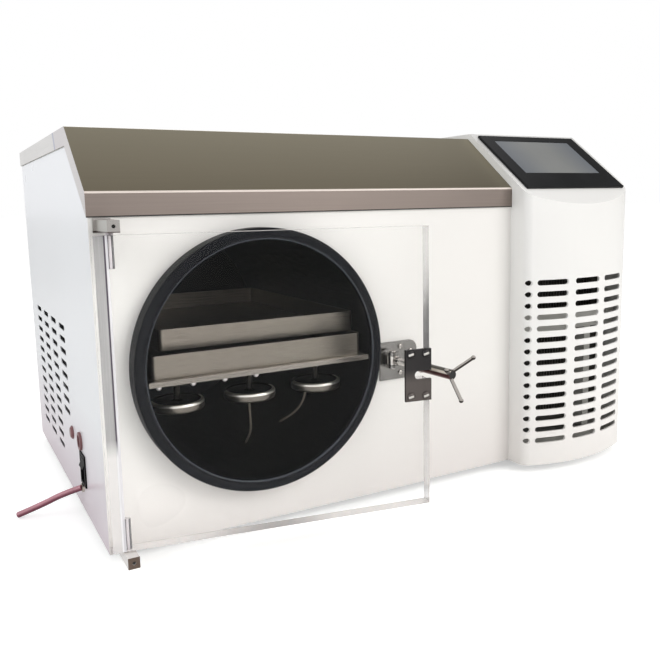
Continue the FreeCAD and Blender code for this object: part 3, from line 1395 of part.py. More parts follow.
def make_control_board():
    """The control board on its standoffs, inside the tower's rear."""
    face = f"({INSIDE_REAR} - board_standoff)"
    left = f"({TOWER_MIDDLE} - board_width / 2)"
    board = box("board_sheet", (left, f"{face} - board_thickness", "board_bottom"),
                ("board_width", "board_thickness", "board_height"))
    posts = [cylinder(f"board_post_{number}",
                      (f"{left} + board_width * {across}", face,
                       f"board_bottom + board_height * {up}"), Y, "board_post_radius",
                      "board_standoff")
             for number, (across, up) in enumerate(BOARD_POSTS)]
    chips = [box(f"board_part_{number}",
                 (f"{left} + board_width * {across}", f"{face} - board_thickness - {lengths[1]}",
                  f"board_bottom + board_height * {up}"), lengths)
             for number, ((across, up), lengths) in enumerate(BOARD_PARTS)]
    return fuse("control_board", board, *posts, *chips)


def make_machinery():
    """The pieces that cool and control the machine; the rotor is returned by itself."""
    fan_parts, rotor = make_fan()
    return [make_compressor(), make_radiator(), *fan_parts, make_control_board()], rotor


# Assembly

def swing(items, centre, angle):
    """Turn pieces about an upright line through centre."""
    turn = FreeCAD.Placement(FreeCAD.Vector(), FreeCAD.Rotation(Z, angle), centre)
    for item in items:
        item.Placement = turn.multiply(item.Placement)


fixed = [*make_casing(), *make_tower(), *make_chamber(), *make_chamber_fittings(),
         *make_hinges(), *make_bracket(), *make_side_fittings()]
machinery, fan_rotor = make_machinery()
fixed += machinery
drain_hose = make_drain_hose()
door = make_door()
bolt = [make_swing_bolt(), make_thrust_washer(), *make_knob()]
rocker = make_rocker()
doc.recompute()
for item in doc.Objects:
    if "Invalid" in item.State or "Error" in item.State:
        raise RuntimeError(f"{item.Label} failed: {item.State}")

swing(door, measure_point((HINGE_X, HINGE_Y, "0")), -measure("door_ajar"))
swing(bolt, measure_point((LATCH_X, LATCH_Y, "0")), measure("bolt_swing"))
press = FreeCAD.Placement(FreeCAD.Vector(), FreeCAD.Rotation(Y, measure("rocker_throw")),
                          measure_point((ROCKER_X, ROCKER_Y, ROCKER_Z)))
rocker.Placement = press.multiply(rocker.Placement)

whole = FreeCAD.BoundBox()
pieces = [*fixed, *door, *bolt, rocker, fan_rotor]
for item in pieces:
    whole.add(item.Shape.optimalBoundingBox(False))
origin = FreeCAD.Vector(whole.Center.x, whole.Center.y, whole.ZMin)
print("origin in the cabinet's directions:", [round(part, 4) for part in origin])
pieces.append(drain_hose)

os.makedirs("parts", exist_ok=True)
for item in pieces:
    name = item.Name.removesuffix("_drilled")
    item.Placement = FreeCAD.Placement(-origin, FreeCAD.Rotation()).multiply(item.Placement)
    if item.Shape.isNull() or not item.Shape.isValid() or not item.Shape.Solids:
        raise RuntimeError(f"{name} has no valid solid")
    item.Shape.exportStep(f"parts/{name}.step")
print(len(pieces), "nodes")
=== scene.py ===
"""Looks for a bench-top freeze dryer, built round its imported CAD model."""

from __future__ import annotations

import json  # noqa: E402
import logging  # noqa: E402
import math  # noqa: E402
from collections.abc import Callable, Iterable, Sequence  # noqa: E402
from dataclasses import dataclass, field  # noqa: E402
from enum import Enum  # noqa: E402

import bmesh  # noqa: E402
import bpy  # noqa: E402
from mathutils import Matrix, Vector  # noqa: E402

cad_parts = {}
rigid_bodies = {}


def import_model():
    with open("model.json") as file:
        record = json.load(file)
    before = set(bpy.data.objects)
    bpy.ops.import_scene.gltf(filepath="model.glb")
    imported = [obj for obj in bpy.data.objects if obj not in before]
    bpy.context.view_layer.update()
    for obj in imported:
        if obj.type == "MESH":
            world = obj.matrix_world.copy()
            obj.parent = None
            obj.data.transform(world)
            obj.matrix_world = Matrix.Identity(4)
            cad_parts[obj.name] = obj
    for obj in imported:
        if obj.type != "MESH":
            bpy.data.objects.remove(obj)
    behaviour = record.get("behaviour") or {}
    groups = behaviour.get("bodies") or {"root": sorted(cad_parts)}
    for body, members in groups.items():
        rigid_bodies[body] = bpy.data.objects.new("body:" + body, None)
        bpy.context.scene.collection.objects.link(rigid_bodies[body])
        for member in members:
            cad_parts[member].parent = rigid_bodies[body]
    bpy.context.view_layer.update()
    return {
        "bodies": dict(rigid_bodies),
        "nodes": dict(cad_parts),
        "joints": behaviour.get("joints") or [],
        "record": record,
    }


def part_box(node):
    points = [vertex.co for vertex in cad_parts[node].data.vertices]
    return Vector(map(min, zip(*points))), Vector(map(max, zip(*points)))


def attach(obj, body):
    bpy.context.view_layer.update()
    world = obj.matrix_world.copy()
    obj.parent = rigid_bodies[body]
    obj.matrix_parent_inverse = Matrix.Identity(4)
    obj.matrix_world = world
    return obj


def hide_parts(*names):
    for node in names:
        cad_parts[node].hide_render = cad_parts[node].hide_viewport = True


LOG = logging.getLogger("freeze_dryer")
MM = 0.001
MACHINE, DOOR, BOLT, WASHER, KNOB = "machine", "door", "latch_bolt", "washer", "knob"
ROCKER, FAN = "switch_rocker", "fan"
X, Y, Z = Vector((1, 0, 0)), Vector((0, 1, 0)), Vector((0, 0, 1))

Colour = tuple[float, float, float]
Point = tuple[float, float]
Place = tuple[float, float, float]
Socket = bpy.types.NodeSocket
FaceTest = Callable[[bmesh.types.BMFace], bool]


class Grain(Enum):
    """The way that brushing lines run, as how finely a pattern repeats along each axis."""

    ACROSS = (0.5, 90.0, 90.0)
    BACK = (90.0, 0.5, 90.0)
    UP = (90.0, 90.0, 0.5)
    NONE = (9.0, 9.0, 9.0)


class Axis(Enum):
    """The line that a turned piece is turned about."""

    ACROSS = (1.0, 0.0, 0.0)
    BACK = (0.0, 1.0, 0.0)
    UP = (0.0, 0.0, 1.0)


# Finishes


class Recipe:
    """A material that is built node by node on the piece's own coordinates."""

    def __init__(self, name: str) -> None:
        """Start a material with one Principled surface.

        Args:
            name: The material's name.
        """
        self.material = bpy.data.materials.new(name)
        self.material.use_nodes = True
        self.tree = self.material.node_tree
        self.tree.nodes.clear()
        self.output = self.tree.nodes.new("ShaderNodeOutputMaterial")
        self.surface = self.tree.nodes.new("ShaderNodeBsdfPrincipled")
        self.join(self.surface.outputs[0], self.output.inputs[0])
        self.place = self.tree.nodes.new("ShaderNodeTexCoord").outputs["Object"]

    def join(self, source: Socket, target: Socket) -> None:
        """Link one socket to another."""
        self.tree.links.new(source, target)

    def set(self, **numbers: float | Colour) -> Recipe:
        """Set the surface's own sockets.

        Args:
            numbers: Each socket's value, named with underscores for spaces.

        Returns:
            The recipe itself.
        """
        for name, number in numbers.items():
            words = ["IOR" if word == "ior" else word.capitalize() for word in name.split("_")]
            value = (*number, 1.0) if isinstance(number, tuple) else number
            self.surface.inputs[" ".join(words)].default_value = value
        return self

    def stretched(self, repeat: Sequence[float]) -> Socket:
        """Return the coordinates scaled along each axis.

        Args:
            repeat: How much more finely a pattern repeats along X, Y and Z.

        Returns:
            The scaled coordinates.
        """
        node = self.tree.nodes.new("ShaderNodeMapping")
        node.inputs["Scale"].default_value = tuple(repeat)
        self.join(self.place, node.inputs["Vector"])
        return node.outputs["Vector"]

    def noise(self, scale: float, detail: float = 2.0, roughness: float = 0.5,
              where: Socket | None = None) -> Socket:
        """Return a cloudy number from 0 to 1 over the piece.

        Args:
            scale: How many clouds there are to a metre.
            detail: How many finer layers the clouds have.
            roughness: How strong the finer layers are.
            where: The coordinates, or None for the piece's own.

        Returns:
            The number.
        """
        node = self.tree.nodes.new("ShaderNodeTexNoise")
        node.inputs["Scale"].default_value = scale
        node.inputs["Detail"].default_value = detail
        node.inputs["Roughness"].default_value = roughness
        self.join(where or self.place, node.inputs["Vector"])
        return node.outputs[0]

    def cells(self, scale: float) -> Socket:
        """Return the distance to the nearest of many scattered points.

        Args:
            scale: How many points there are to a metre.

        Returns:
            The distance.
        """
        node = self.tree.nodes.new("ShaderNodeTexVoronoi")
        node.inputs["Scale"].default_value = scale
        self.join(self.place, node.inputs["Vector"])
        return node.outputs["Distance"]

    def part_of(self, vector: Socket, axis: Axis) -> Socket:
        """Return one part of a vector.

        Args:
            vector: The vector.
            axis: Which part it is.

        Returns:
            The part.
        """
        node = self.tree.nodes.new("ShaderNodeSeparateXYZ")
        self.join(vector, node.inputs[0])
        return node.outputs[axis.value.index(1.0)]

    def along(self, axis: Axis) -> Socket:
        """Return one coordinate."""
        return self.part_of(self.place, axis)

    def lean(self, axis: Axis) -> Socket:
        """Return how far the surface faces along an axis, from -1 to 1."""
        geometry = self.tree.nodes.new("ShaderNodeNewGeometry")
        return self.part_of(geometry.outputs["Normal"], axis)

    def spread(self, number: Socket, source: Point, target: Point) -> Socket:
        """Return a number carried from one range to another, held at its ends.

        Args:
            number: The number.
            source: The range that it comes in.
            target: The range that it leaves in.

        Returns:
            The carried number.
        """
        node = self.tree.nodes.new("ShaderNodeMapRange")
        for label, value in zip(("From Min", "From Max", "To Min", "To Max"), (*source, *target)):
            node.inputs[label].default_value = value
        self.join(number, node.inputs["Value"])
        return node.outputs["Result"]

    def mixed(self, share: Socket, first: Colour | Socket, second: Colour | Socket) -> Socket:
        """Return the colour between two others.

        Args:
            share: How much of the second there is, from 0 to 1.
            first: The first colour.
            second: The second colour.

        Returns:
            The mixed colour.
        """
        node = self.tree.nodes.new("ShaderNodeMix")
        node.data_type = "RGBA"
        self.join(share, node.inputs[0])
        for socket, value in ((node.inputs[6], first), (node.inputs[7], second)):
            if isinstance(value, tuple):
                socket.default_value = (*value, 1.0)
            else:
                self.join(value, socket)
        return node.outputs[2]

    def blend(self, number: Socket, span: Point, first: Colour | Socket,
              second: Colour | Socket) -> Socket:
        """Return a colour that goes from one to another as a number crosses a span."""
        return self.mixed(self.spread(number, span, (0, 1)), first, second)

    def relief(self, height: Socket, strength: float, depth: float) -> None:
        """Raise the surface by a pattern.

        Args:
            height: The pattern, from 0 to 1.
            strength: How much of the raising shows.
            depth: How high the pattern stands, in metres.
        """
        node = self.tree.nodes.new("ShaderNodeBump")
        node.inputs["Strength"].default_value = strength
        node.inputs["Distance"].default_value = depth
        self.join(height, node.inputs["Height"])
        self.join(node.outputs[0], self.surface.inputs["Normal"])

    def colour(self, source: Socket) -> None:
        """Take the surface's colour from a socket."""
        self.join(source, self.surface.inputs["Base Color"])

    def rough(self, source: Socket) -> None:
        """Take the surface's roughness from a socket."""
        self.join(source, self.surface.inputs["Roughness"])


def shade(colour: Colour, by: float) -> Colour:
    """Return a colour made lighter or darker, held under full white."""
    return tuple(min(part * by, 0.97) for part in colour)


@dataclass(frozen=True)
class Finish:
    """A finish with its name and main colour."""

    name: str
    tone: Colour

    def brew(self) -> bpy.types.Material:
        """Return the finish as a material."""
        raise NotImplementedError


FaceFinish = Callable[[bmesh.types.BMFace], Finish]


@dataclass(frozen=True)
class Enamel(Finish):
    """Baked paint with a faint orange peel, painted duller and warmer near the floor: painted
    shade and a painted reflection of the warm floor.
    """

    painted_low_tone: Colour = (0.76, 0.71, 0.69)
    painted_low_height: float = 0.16
    painted_low_share: float = 0.75
    gloss: float = 0.30

    def brew(self) -> bpy.types.Material:
        """Build the paint.

        Returns:
            The material.
        """
        made = Recipe(self.name).set(specular_ior_level=0.45, coat_weight=0.12,
                                     coat_roughness=0.12)
        cloud = made.noise(4.0)
        body = made.blend(cloud, (0.3, 0.7), shade(self.tone, 0.985), shade(self.tone, 1.01))
        # Painted shade and painted floor reflection: below painted_low_height the tone goes
        # towards painted_low_tone.
        low = made.spread(made.along(Axis.UP), (0.0, self.painted_low_height), (self.painted_low_share, 0.0))
        made.colour(made.mixed(low, body, self.painted_low_tone))
        made.rough(made.spread(cloud, (0.3, 0.7), (self.gloss - 0.03, self.gloss + 0.04)))
        made.relief(made.noise(420.0, 1.0), 0.05, 0.2 * MM)
        return made.material


@dataclass(frozen=True)
class BrushedSteel(Finish):
    """Steel sheet with brushing lines, broad cloudy tints and a few deeper scratches;
    painted_high_tone paints light or shade above some heights.
    """

    grain: Grain = Grain.ACROSS
    gloss: float = 0.34
    tint: Colour = (0.30, 0.26, 0.22)
    metal: float = 1.0
    line: float = 14.0
    contrast: float = 0.05
    groove: float = 0.08
    painted_high_tone: Colour | None = None
    heights: Point = (0.0, 1.0)

    def brew(self) -> bpy.types.Material:
        """Build the steel.

        Returns:
            The material.
        """
        made = Recipe(self.name).set(metallic=self.metal, specular_ior_level=0.5)
        brushed = made.stretched(self.grain.value)
        lines = made.noise(self.line, 3.0, 0.6, brushed)
        fine = made.noise(self.line * 4, 2.0, 0.6, brushed)
        cloud = made.noise(5.0, 1.0, where=made.stretched((0.8, 2.2, 2.2)))
        body = made.blend(lines, (0.32, 0.68), shade(self.tone, 1 - self.contrast),
                          shade(self.tone, 1 + self.contrast))
        body = made.mixed(made.spread(cloud, (0.35, 0.7), (0.0, 0.45)), body, self.tint)
        # Painted light or painted shade: above the given heights the tone goes towards
        # painted_high_tone.
        if self.painted_high_tone:
            rise = made.spread(made.along(Axis.UP), self.heights, (0.0, 0.85))
            body = made.mixed(rise, body, self.painted_high_tone)
        made.colour(body)
        made.rough(made.spread(fine, (0.3, 0.7), (self.gloss - 0.05, self.gloss + 0.06)))
        made.relief(lines, self.groove, 0.2 * MM)
        return made.material


@dataclass(frozen=True)
class PolishedSteel(Finish):
    """Plated or polished steel with faint wear."""

    gloss: float = 0.13

    def brew(self) -> bpy.types.Material:
        """Build the steel.

        Returns:
            The material.
        """
        made = Recipe(self.name).set(metallic=1.0)
        wear = made.noise(90.0, 3.0, 0.6)
        made.colour(made.blend(wear, (0.35, 0.7), self.tone, shade(self.tone, 0.82)))
        made.rough(made.spread(wear, (0.35, 0.7), (self.gloss, self.gloss + 0.10)))
        made.relief(made.noise(700.0, 1.0), 0.04, 0.1 * MM)
        return made.material


@dataclass(frozen=True)
class ReflectionPaintedSteel(Finish):
    """Polished round bar with a painted reflection: a dark room, with a painted bright streak
    under its top.
    """

    streak: Colour = (0.97, 0.88, 0.76)
    low: Colour = (0.085, 0.030, 0.030)
    rim: Colour = (0.50, 0.36, 0.35)
    span: Point = (0.16, 0.62)
    soft: float = 0.07

    def brew(self) -> bpy.types.Material:
        """Build the bar's painted reflection: a rim, a dark side, the streak and the top, from
        below, chosen by which way each face looks.

        Returns:
            The material.
        """
        made = Recipe(self.name).set(metallic=0.4, roughness=0.3)
        # Painted reflection: the colour follows how far each face looks up.
        rise = made.lean(Axis.UP)
        lower, upper = ((edge - self.soft, edge + self.soft) for edge in self.span)
        body = made.blend(rise, (-0.85, -0.6), self.rim, self.low)
        body = made.blend(rise, lower, body, self.streak)
        made.colour(made.blend(rise, upper, body, self.tone))
        return made.material


@dataclass(frozen=True)
class Moulded(Finish):
    """Moulded plastic, rubber or foam: grained, with a second tone in clouds."""

    gloss: float = 0.5
    grain_scale: float = 900.0
    grain_depth: float = 0.2 * MM
    grain_strength: float = 0.15
    contrast: float = 1.5
    sheen_level: float = 0.2

    def brew(self) -> bpy.types.Material:
        """Build the plastic.

        Returns:
            The material.
        """
        made = Recipe(self.name).set(specular_ior_level=self.sheen_level)
        cloud = made.noise(22.0, 3.0)
        made.colour(made.blend(cloud, (0.35, 0.72), self.tone, shade(self.tone, self.contrast)))
        made.rough(made.spread(cloud, (0.3, 0.7), (self.gloss - 0.05, self.gloss + 0.05)))
        made.relief(made.noise(self.grain_scale, 1.0), self.grain_strength, self.grain_depth)
        return made.material


@dataclass(frozen=True)
class Acrylic(Finish):
    """Clear cast sheet, through which lamps light what is behind it."""

    shadow: Colour = (0.92, 0.93, 0.93)

    def brew(self) -> bpy.types.Material:
        """Build the sheet, which casts only a pale shadow.

        Returns:
            The material.
        """
        made = Recipe(self.name).set(roughness=0.0, ior=1.16, transmission_weight=1.0)
        cloud = made.noise(6.0, 1.0)
        made.colour(made.blend(cloud, (0.3, 0.7), self.tone, shade(self.tone, 0.985)))
        through = made.tree.nodes.new("ShaderNodeBsdfTransparent")
        through.inputs[0].default_value = (*self.shadow, 1.0)
        rays = made.tree.nodes.new("ShaderNodeLightPath")
        mix = made.tree.nodes.new("ShaderNodeMixShader")
        made.join(rays.outputs["Is Shadow Ray"], mix.inputs[0])
        made.join(made.surface.outputs[0], mix.inputs[1])
        made.join(through.outputs[0], mix.inputs[2])
        made.join(mix.outputs[0], made.output.inputs[0])
        return made.material


@dataclass(frozen=True)
class SawnEdge(Finish):
    """The sheet's sawn edge, which holds more light than its faces."""

    clear: float = 0.85
    gloss: float = 0.2
    painted_low_tone: Colour | None = None
    fade: Point = (0.14, 0.16)

    def brew(self) -> bpy.types.Material:
        """Build the edge, with painted light in another tone under the heights that fade gives.

        Returns:
            The material.
        """
        made = Recipe(self.name).set(ior=1.49, transmission_weight=self.clear,
                                     specular_ior_level=0.3)
        lines = made.noise(3.0, where=made.stretched((260, 260, 3)))
        body = made.blend(lines, (0.3, 0.7), shade(self.tone, 0.86), shade(self.tone, 1.06))
        # Painted light: under the fade heights the tone goes towards painted_low_tone.
        if self.painted_low_tone:
            body = made.blend(made.along(Axis.UP), self.fade, self.painted_low_tone, body)
        made.colour(body)
        made.rough(made.spread(lines, (0.3, 0.7), (self.gloss * 0.6, self.gloss)))
        return made.material


@dataclass(frozen=True)
class DarkScreen(Finish):
    """A sleeping display under glass: grey, with a darker and bluer painted reflection towards its
    ends.
    """

    reflection_tone: Colour = (0.115, 0.13, 0.155)
    reflection_share: float = 0.8
    reflection_span: Point = (20 * MM, 80 * MM)
    middle: float = 0.0

    def brew(self) -> bpy.types.Material:
        """Build the display, whose middle lies at a place along X.

        Returns:
            The material.
        """
        made = Recipe(self.name).set(specular_ior_level=0.3, coat_weight=0.15,
                                     coat_roughness=0.03, roughness=0.25)
        cloud = made.noise(14.0)
        body = made.blend(cloud, (0.3, 0.7), shade(self.tone, 0.94), shade(self.tone, 1.05))
        # Painted reflection: towards each end the tone goes darker and bluer.
        for side in (-1, 1):
            near, far = (self.middle + side * reach for reach in self.reflection_span)
            share = made.spread(made.along(Axis.ACROSS), (near, far), (0.0, self.reflection_share))
            body = made.mixed(share, body, self.reflection_tone)
        made.colour(body)
        return made.material


@dataclass(frozen=True)
class RoseTube(Finish):
    """Clear flexible tube with a rose tint, a little cloudy, and darker where it faces down, which
    is painted shade.
    """

    painted_low_tone: Colour = (0.17, 0.032, 0.060)

    def brew(self) -> bpy.types.Material:
        """Build the tube.

        Returns:
            The material.
        """
        made = Recipe(self.name).set(roughness=0.2, ior=1.42, transmission_weight=0.1,
                                     coat_weight=0.35, coat_roughness=0.08)
        body = made.blend(made.noise(60.0), (0.3, 0.7), self.tone, shade(self.tone, 0.78))
        # Painted shade: faces that look down take the darker painted_low_tone.
        made.colour(made.blend(made.lean(Axis.UP), (-0.25, 0.45), self.painted_low_tone, body))
        return made.material


@dataclass(frozen=True)
class CircuitBoard(Finish):
    """Green laminate with paler tracks."""

    track: Colour = (0.10, 0.36, 0.20)

    def brew(self) -> bpy.types.Material:
        """Build the laminate.

        Returns:
            The material.
        """
        made = Recipe(self.name).set(roughness=0.4)
        made.colour(made.blend(made.cells(160.0), (0.25, 0.3), self.tone, self.track))
        return made.material


class Paint:
    """The finishes of this machine, each brewed once and kept."""

    # The lower tones of these paints are painted shade and a painted reflection of the floor.
    FRONT = Enamel("front_enamel", (0.85, 0.83, 0.80))
    SIDE = Enamel("side_enamel", (0.81, 0.82, 0.84), painted_low_tone=(0.64, 0.50, 0.56), painted_low_height=0.16)
    SHELL = Enamel("shell_gloss", (0.85, 0.84, 0.82), painted_low_tone=(0.84, 0.80, 0.77), gloss=0.22)
    PAN = Enamel("pan_enamel", (0.62, 0.62, 0.61), painted_low_height=0.01, gloss=0.4)
    # Brushed steel: the lid's dark tone is partly a painted reflection of a dark room, its lighter
    # tone towards the top is painted light, and the lip's browner tone is a painted reflection of
    # the floor.
    LID = BrushedSteel("lid_steel", (0.225, 0.198, 0.140), tint=(0.25, 0.215, 0.152), gloss=0.36,
                       painted_high_tone=(0.335, 0.305, 0.225), heights=(0.425, 0.50))
    LIP_REFLECTION = BrushedSteel("lid_lip_painted_reflection", (0.255, 0.214, 0.190), tint=(0.30, 0.25, 0.222),
                       gloss=0.36)
    # A painted highlight on the rounding of the lid's front fold.
    FOLD_HIGHLIGHT = BrushedSteel("lid_fold_painted_highlight", (0.74, 0.66, 0.60), tint=(0.68, 0.60, 0.54), gloss=0.5,
                        metal=0.2)
    LID_TOP_END = BrushedSteel("lid_top_end_steel", (0.70, 0.69, 0.665), tint=(0.64, 0.63, 0.60),
                               grain=Grain.BACK, gloss=0.38)
    LID_END = BrushedSteel("lid_end_steel", (0.66, 0.635, 0.62), tint=(0.60, 0.57, 0.58),
                           grain=Grain.BACK, gloss=0.38)
    SEAM = BrushedSteel("lid_seam_steel", (0.46, 0.47, 0.55), tint=(0.42, 0.43, 0.51),
                        grain=Grain.BACK, gloss=0.38)
    TRAY = BrushedSteel("tray_steel", (0.195, 0.176, 0.149), tint=(0.24, 0.207, 0.18), gloss=0.30,
                        contrast=0.02, groove=0.01)
    SHELF = BrushedSteel("shelf_steel", (0.24, 0.218, 0.195), tint=(0.20, 0.18, 0.16), gloss=0.26)
    # Stainless steel whose near-black tone is painted shade inside the chamber.
    VESSEL_SHADE = BrushedSteel("vessel_painted_shade_steel", (0.039, 0.041, 0.046), tint=(0.025, 0.029, 0.036),
                          grain=Grain.BACK, gloss=0.30)
    HEATER = BrushedSteel("heater_steel", (0.17, 0.155, 0.135), tint=(0.21, 0.19, 0.16),
                          grain=Grain.NONE, gloss=0.36)
    # A painted highlight on the heaters' rims, and painted shade on their tops and studs.
    HEATER_RIM_HIGHLIGHT = BrushedSteel("heater_rim_painted_highlight", (0.82, 0.79, 0.73), tint=(0.70, 0.67, 0.61),
                              grain=Grain.NONE, gloss=0.34)
    HEATER_TOP_SHADE = BrushedSteel("heater_top_painted_shade", (0.022, 0.020, 0.018), tint=(0.018, 0.016, 0.015),
                        grain=Grain.UP, gloss=0.3)
    HINGE_TOP = BrushedSteel("hinge_steel", (0.42, 0.40, 0.38), tint=(0.36, 0.33, 0.32),
                             grain=Grain.BACK, gloss=0.3)
    # Painted light on the top hinge block's left side, and a painted shadow at its foot.
    HINGE_SIDE_LIT = BrushedSteel("hinge_side_painted_light", (0.56, 0.55, 0.52), tint=(0.40, 0.40, 0.36),
                              grain=Grain.UP, gloss=0.34)
    HINGE_FOOT_SHADOW = BrushedSteel("hinge_foot_painted_shadow", (0.10, 0.08, 0.076), tint=(0.08, 0.066, 0.06),
                              gloss=0.3)
    HINGE_LOW = BrushedSteel("hinge_low_steel", (0.17, 0.125, 0.10), tint=(0.22, 0.17, 0.145),
                             grain=Grain.BACK, gloss=0.32)
    # The latch plate's top, above 0.19 m, is darker: painted shade.
    PLATE = BrushedSteel("latch_plate_steel", (0.115, 0.098, 0.090), tint=(0.09, 0.078, 0.074),
                         grain=Grain.UP, gloss=0.42, metal=0.6, painted_high_tone=(0.016, 0.016, 0.018),
                         heights=(0.190, 0.206))
    CHROME = PolishedSteel("bright_steel", (0.56, 0.53, 0.50))
    # A painted highlight in the driver slots of the latch plate's screws.
    SLOT_HIGHLIGHT = PolishedSteel("slot_painted_highlight_steel", (0.86, 0.83, 0.78), gloss=0.3)
    BRACKET = PolishedSteel("bracket_steel", (0.26, 0.25, 0.24))
    # The hub and the arms carry a painted reflection with a painted bright streak.
    HUB = ReflectionPaintedSteel("hub_painted_reflection", (0.050, 0.045, 0.034))
    ARM = ReflectionPaintedSteel("arm_painted_reflection", (0.40, 0.37, 0.34), streak=(0.34, 0.31, 0.28),
                        low=(0.030, 0.022, 0.018), rim=(0.10, 0.08, 0.07), span=(0.10, 0.5))
    NUT = PolishedSteel("nut_steel", (0.74, 0.69, 0.69), gloss=0.4)
    PIN = Moulded("frosted_pin", (0.74, 0.69, 0.71), gloss=0.4, contrast=0.93)
    NICKEL = PolishedSteel("nickel", (0.66, 0.62, 0.54), gloss=0.2)
    ALLOY = PolishedSteel("alloy", (0.55, 0.55, 0.56), gloss=0.4)
    COPPER = PolishedSteel("copper", (0.62, 0.31, 0.18), gloss=0.25)
    RUBBER = Moulded("black_rubber", (0.0042, 0.0047, 0.0066), gloss=0.45, grain_scale=500.0,
                     sheen_level=0.10)
    # A painted highlight along the gasket's inner bead.
    BEAD_HIGHLIGHT = Moulded("gasket_bead_painted_highlight", (0.032, 0.036, 0.044), gloss=0.35, sheen_level=0.3)
    FOOT = Moulded("foot_rubber", (0.016, 0.016, 0.016), gloss=0.6)
    BEZEL = Moulded("bezel_black", (0.0075, 0.0080, 0.0086), gloss=0.18, grain_strength=0.02,
                    contrast=1.3, sheen_level=0.15)
    BLACK = Moulded("black_plastic", (0.0055, 0.005, 0.006), gloss=0.42, sheen_level=0.06)
    MAROON = Moulded("maroon_plastic", (0.20, 0.095, 0.098), gloss=0.35, contrast=1.2)
    # Dark enamel, also used as painted shade: the strip under the lid's lip and the knob's end
    # face.
    DARK_AND_SHADE = Moulded("dark_enamel_and_painted_shade", (0.030, 0.029, 0.028), gloss=0.3, contrast=1.3)
    NYLON = Moulded("nylon", (0.78, 0.76, 0.72), gloss=0.45, contrast=0.95)
    FOAM = Moulded("black_foam", (0.022, 0.022, 0.024), gloss=0.85, grain_scale=220.0,
                   grain_depth=1.0 * MM, grain_strength=0.5, contrast=1.6)
    LEAD = Moulded("lead_sleeve", (0.20, 0.175, 0.145), gloss=0.4, contrast=0.8)
    PALE = Moulded("pale_bracket", (0.55, 0.54, 0.51), gloss=0.5, contrast=1.1)
    ACRYLIC = Acrylic("clear_acrylic", (0.985, 0.988, 0.986))
    EDGE = SawnEdge("acrylic_edge", (0.78, 0.755, 0.75), clear=0.6)
    # Painted shade: the broken corners' dark tone stands for the dark line that they show.
    CORNER_SHADE = SawnEdge("acrylic_corner_painted_shade", (0.17, 0.165, 0.17), clear=0.2)
    LEVEL_EDGE = SawnEdge("acrylic_level_edge", (0.83, 0.78, 0.76), clear=0.3)
    # Painted light and shade on the door's hinge side: a grey band, a dark line and a glint, each
    # lighter low down.
    PAINTED_ROUND_SIDE = SawnEdge("acrylic_painted_round_side", (0.44, 0.435, 0.44), clear=0.4,
                          painted_low_tone=(0.86, 0.84, 0.83))
    PAINTED_ROUND_SHADE = SawnEdge("acrylic_painted_round_shade", (0.090, 0.075, 0.098), clear=0.15,
                          painted_low_tone=(0.90, 0.90, 0.92))
    PAINTED_ROUND_GLINT = SawnEdge("acrylic_painted_round_glint", (0.88, 0.86, 0.90), clear=0.3)
    BORE = SawnEdge("acrylic_bore", (0.93, 0.87, 0.87), clear=0.0, gloss=0.5)
    HOSE = RoseTube("rose_tube", (0.60, 0.27, 0.32))
    BOARD = CircuitBoard("board", (0.03, 0.16, 0.08))
    FINS = Moulded("condenser_enamel", (0.055, 0.052, 0.046), gloss=0.4, contrast=1.3)

    made: dict[str, bpy.types.Material] = {}

    @classmethod
    def of(cls, finish: Finish) -> bpy.types.Material:
        """Return the finish's material, brewed at its first use.

        Args:
            finish: The finish.

        Returns:
            Its material.
        """
        if finish.name not in cls.made:
            cls.made[finish.name] = finish.brew()
        return cls.made[finish.name]


# Shaping


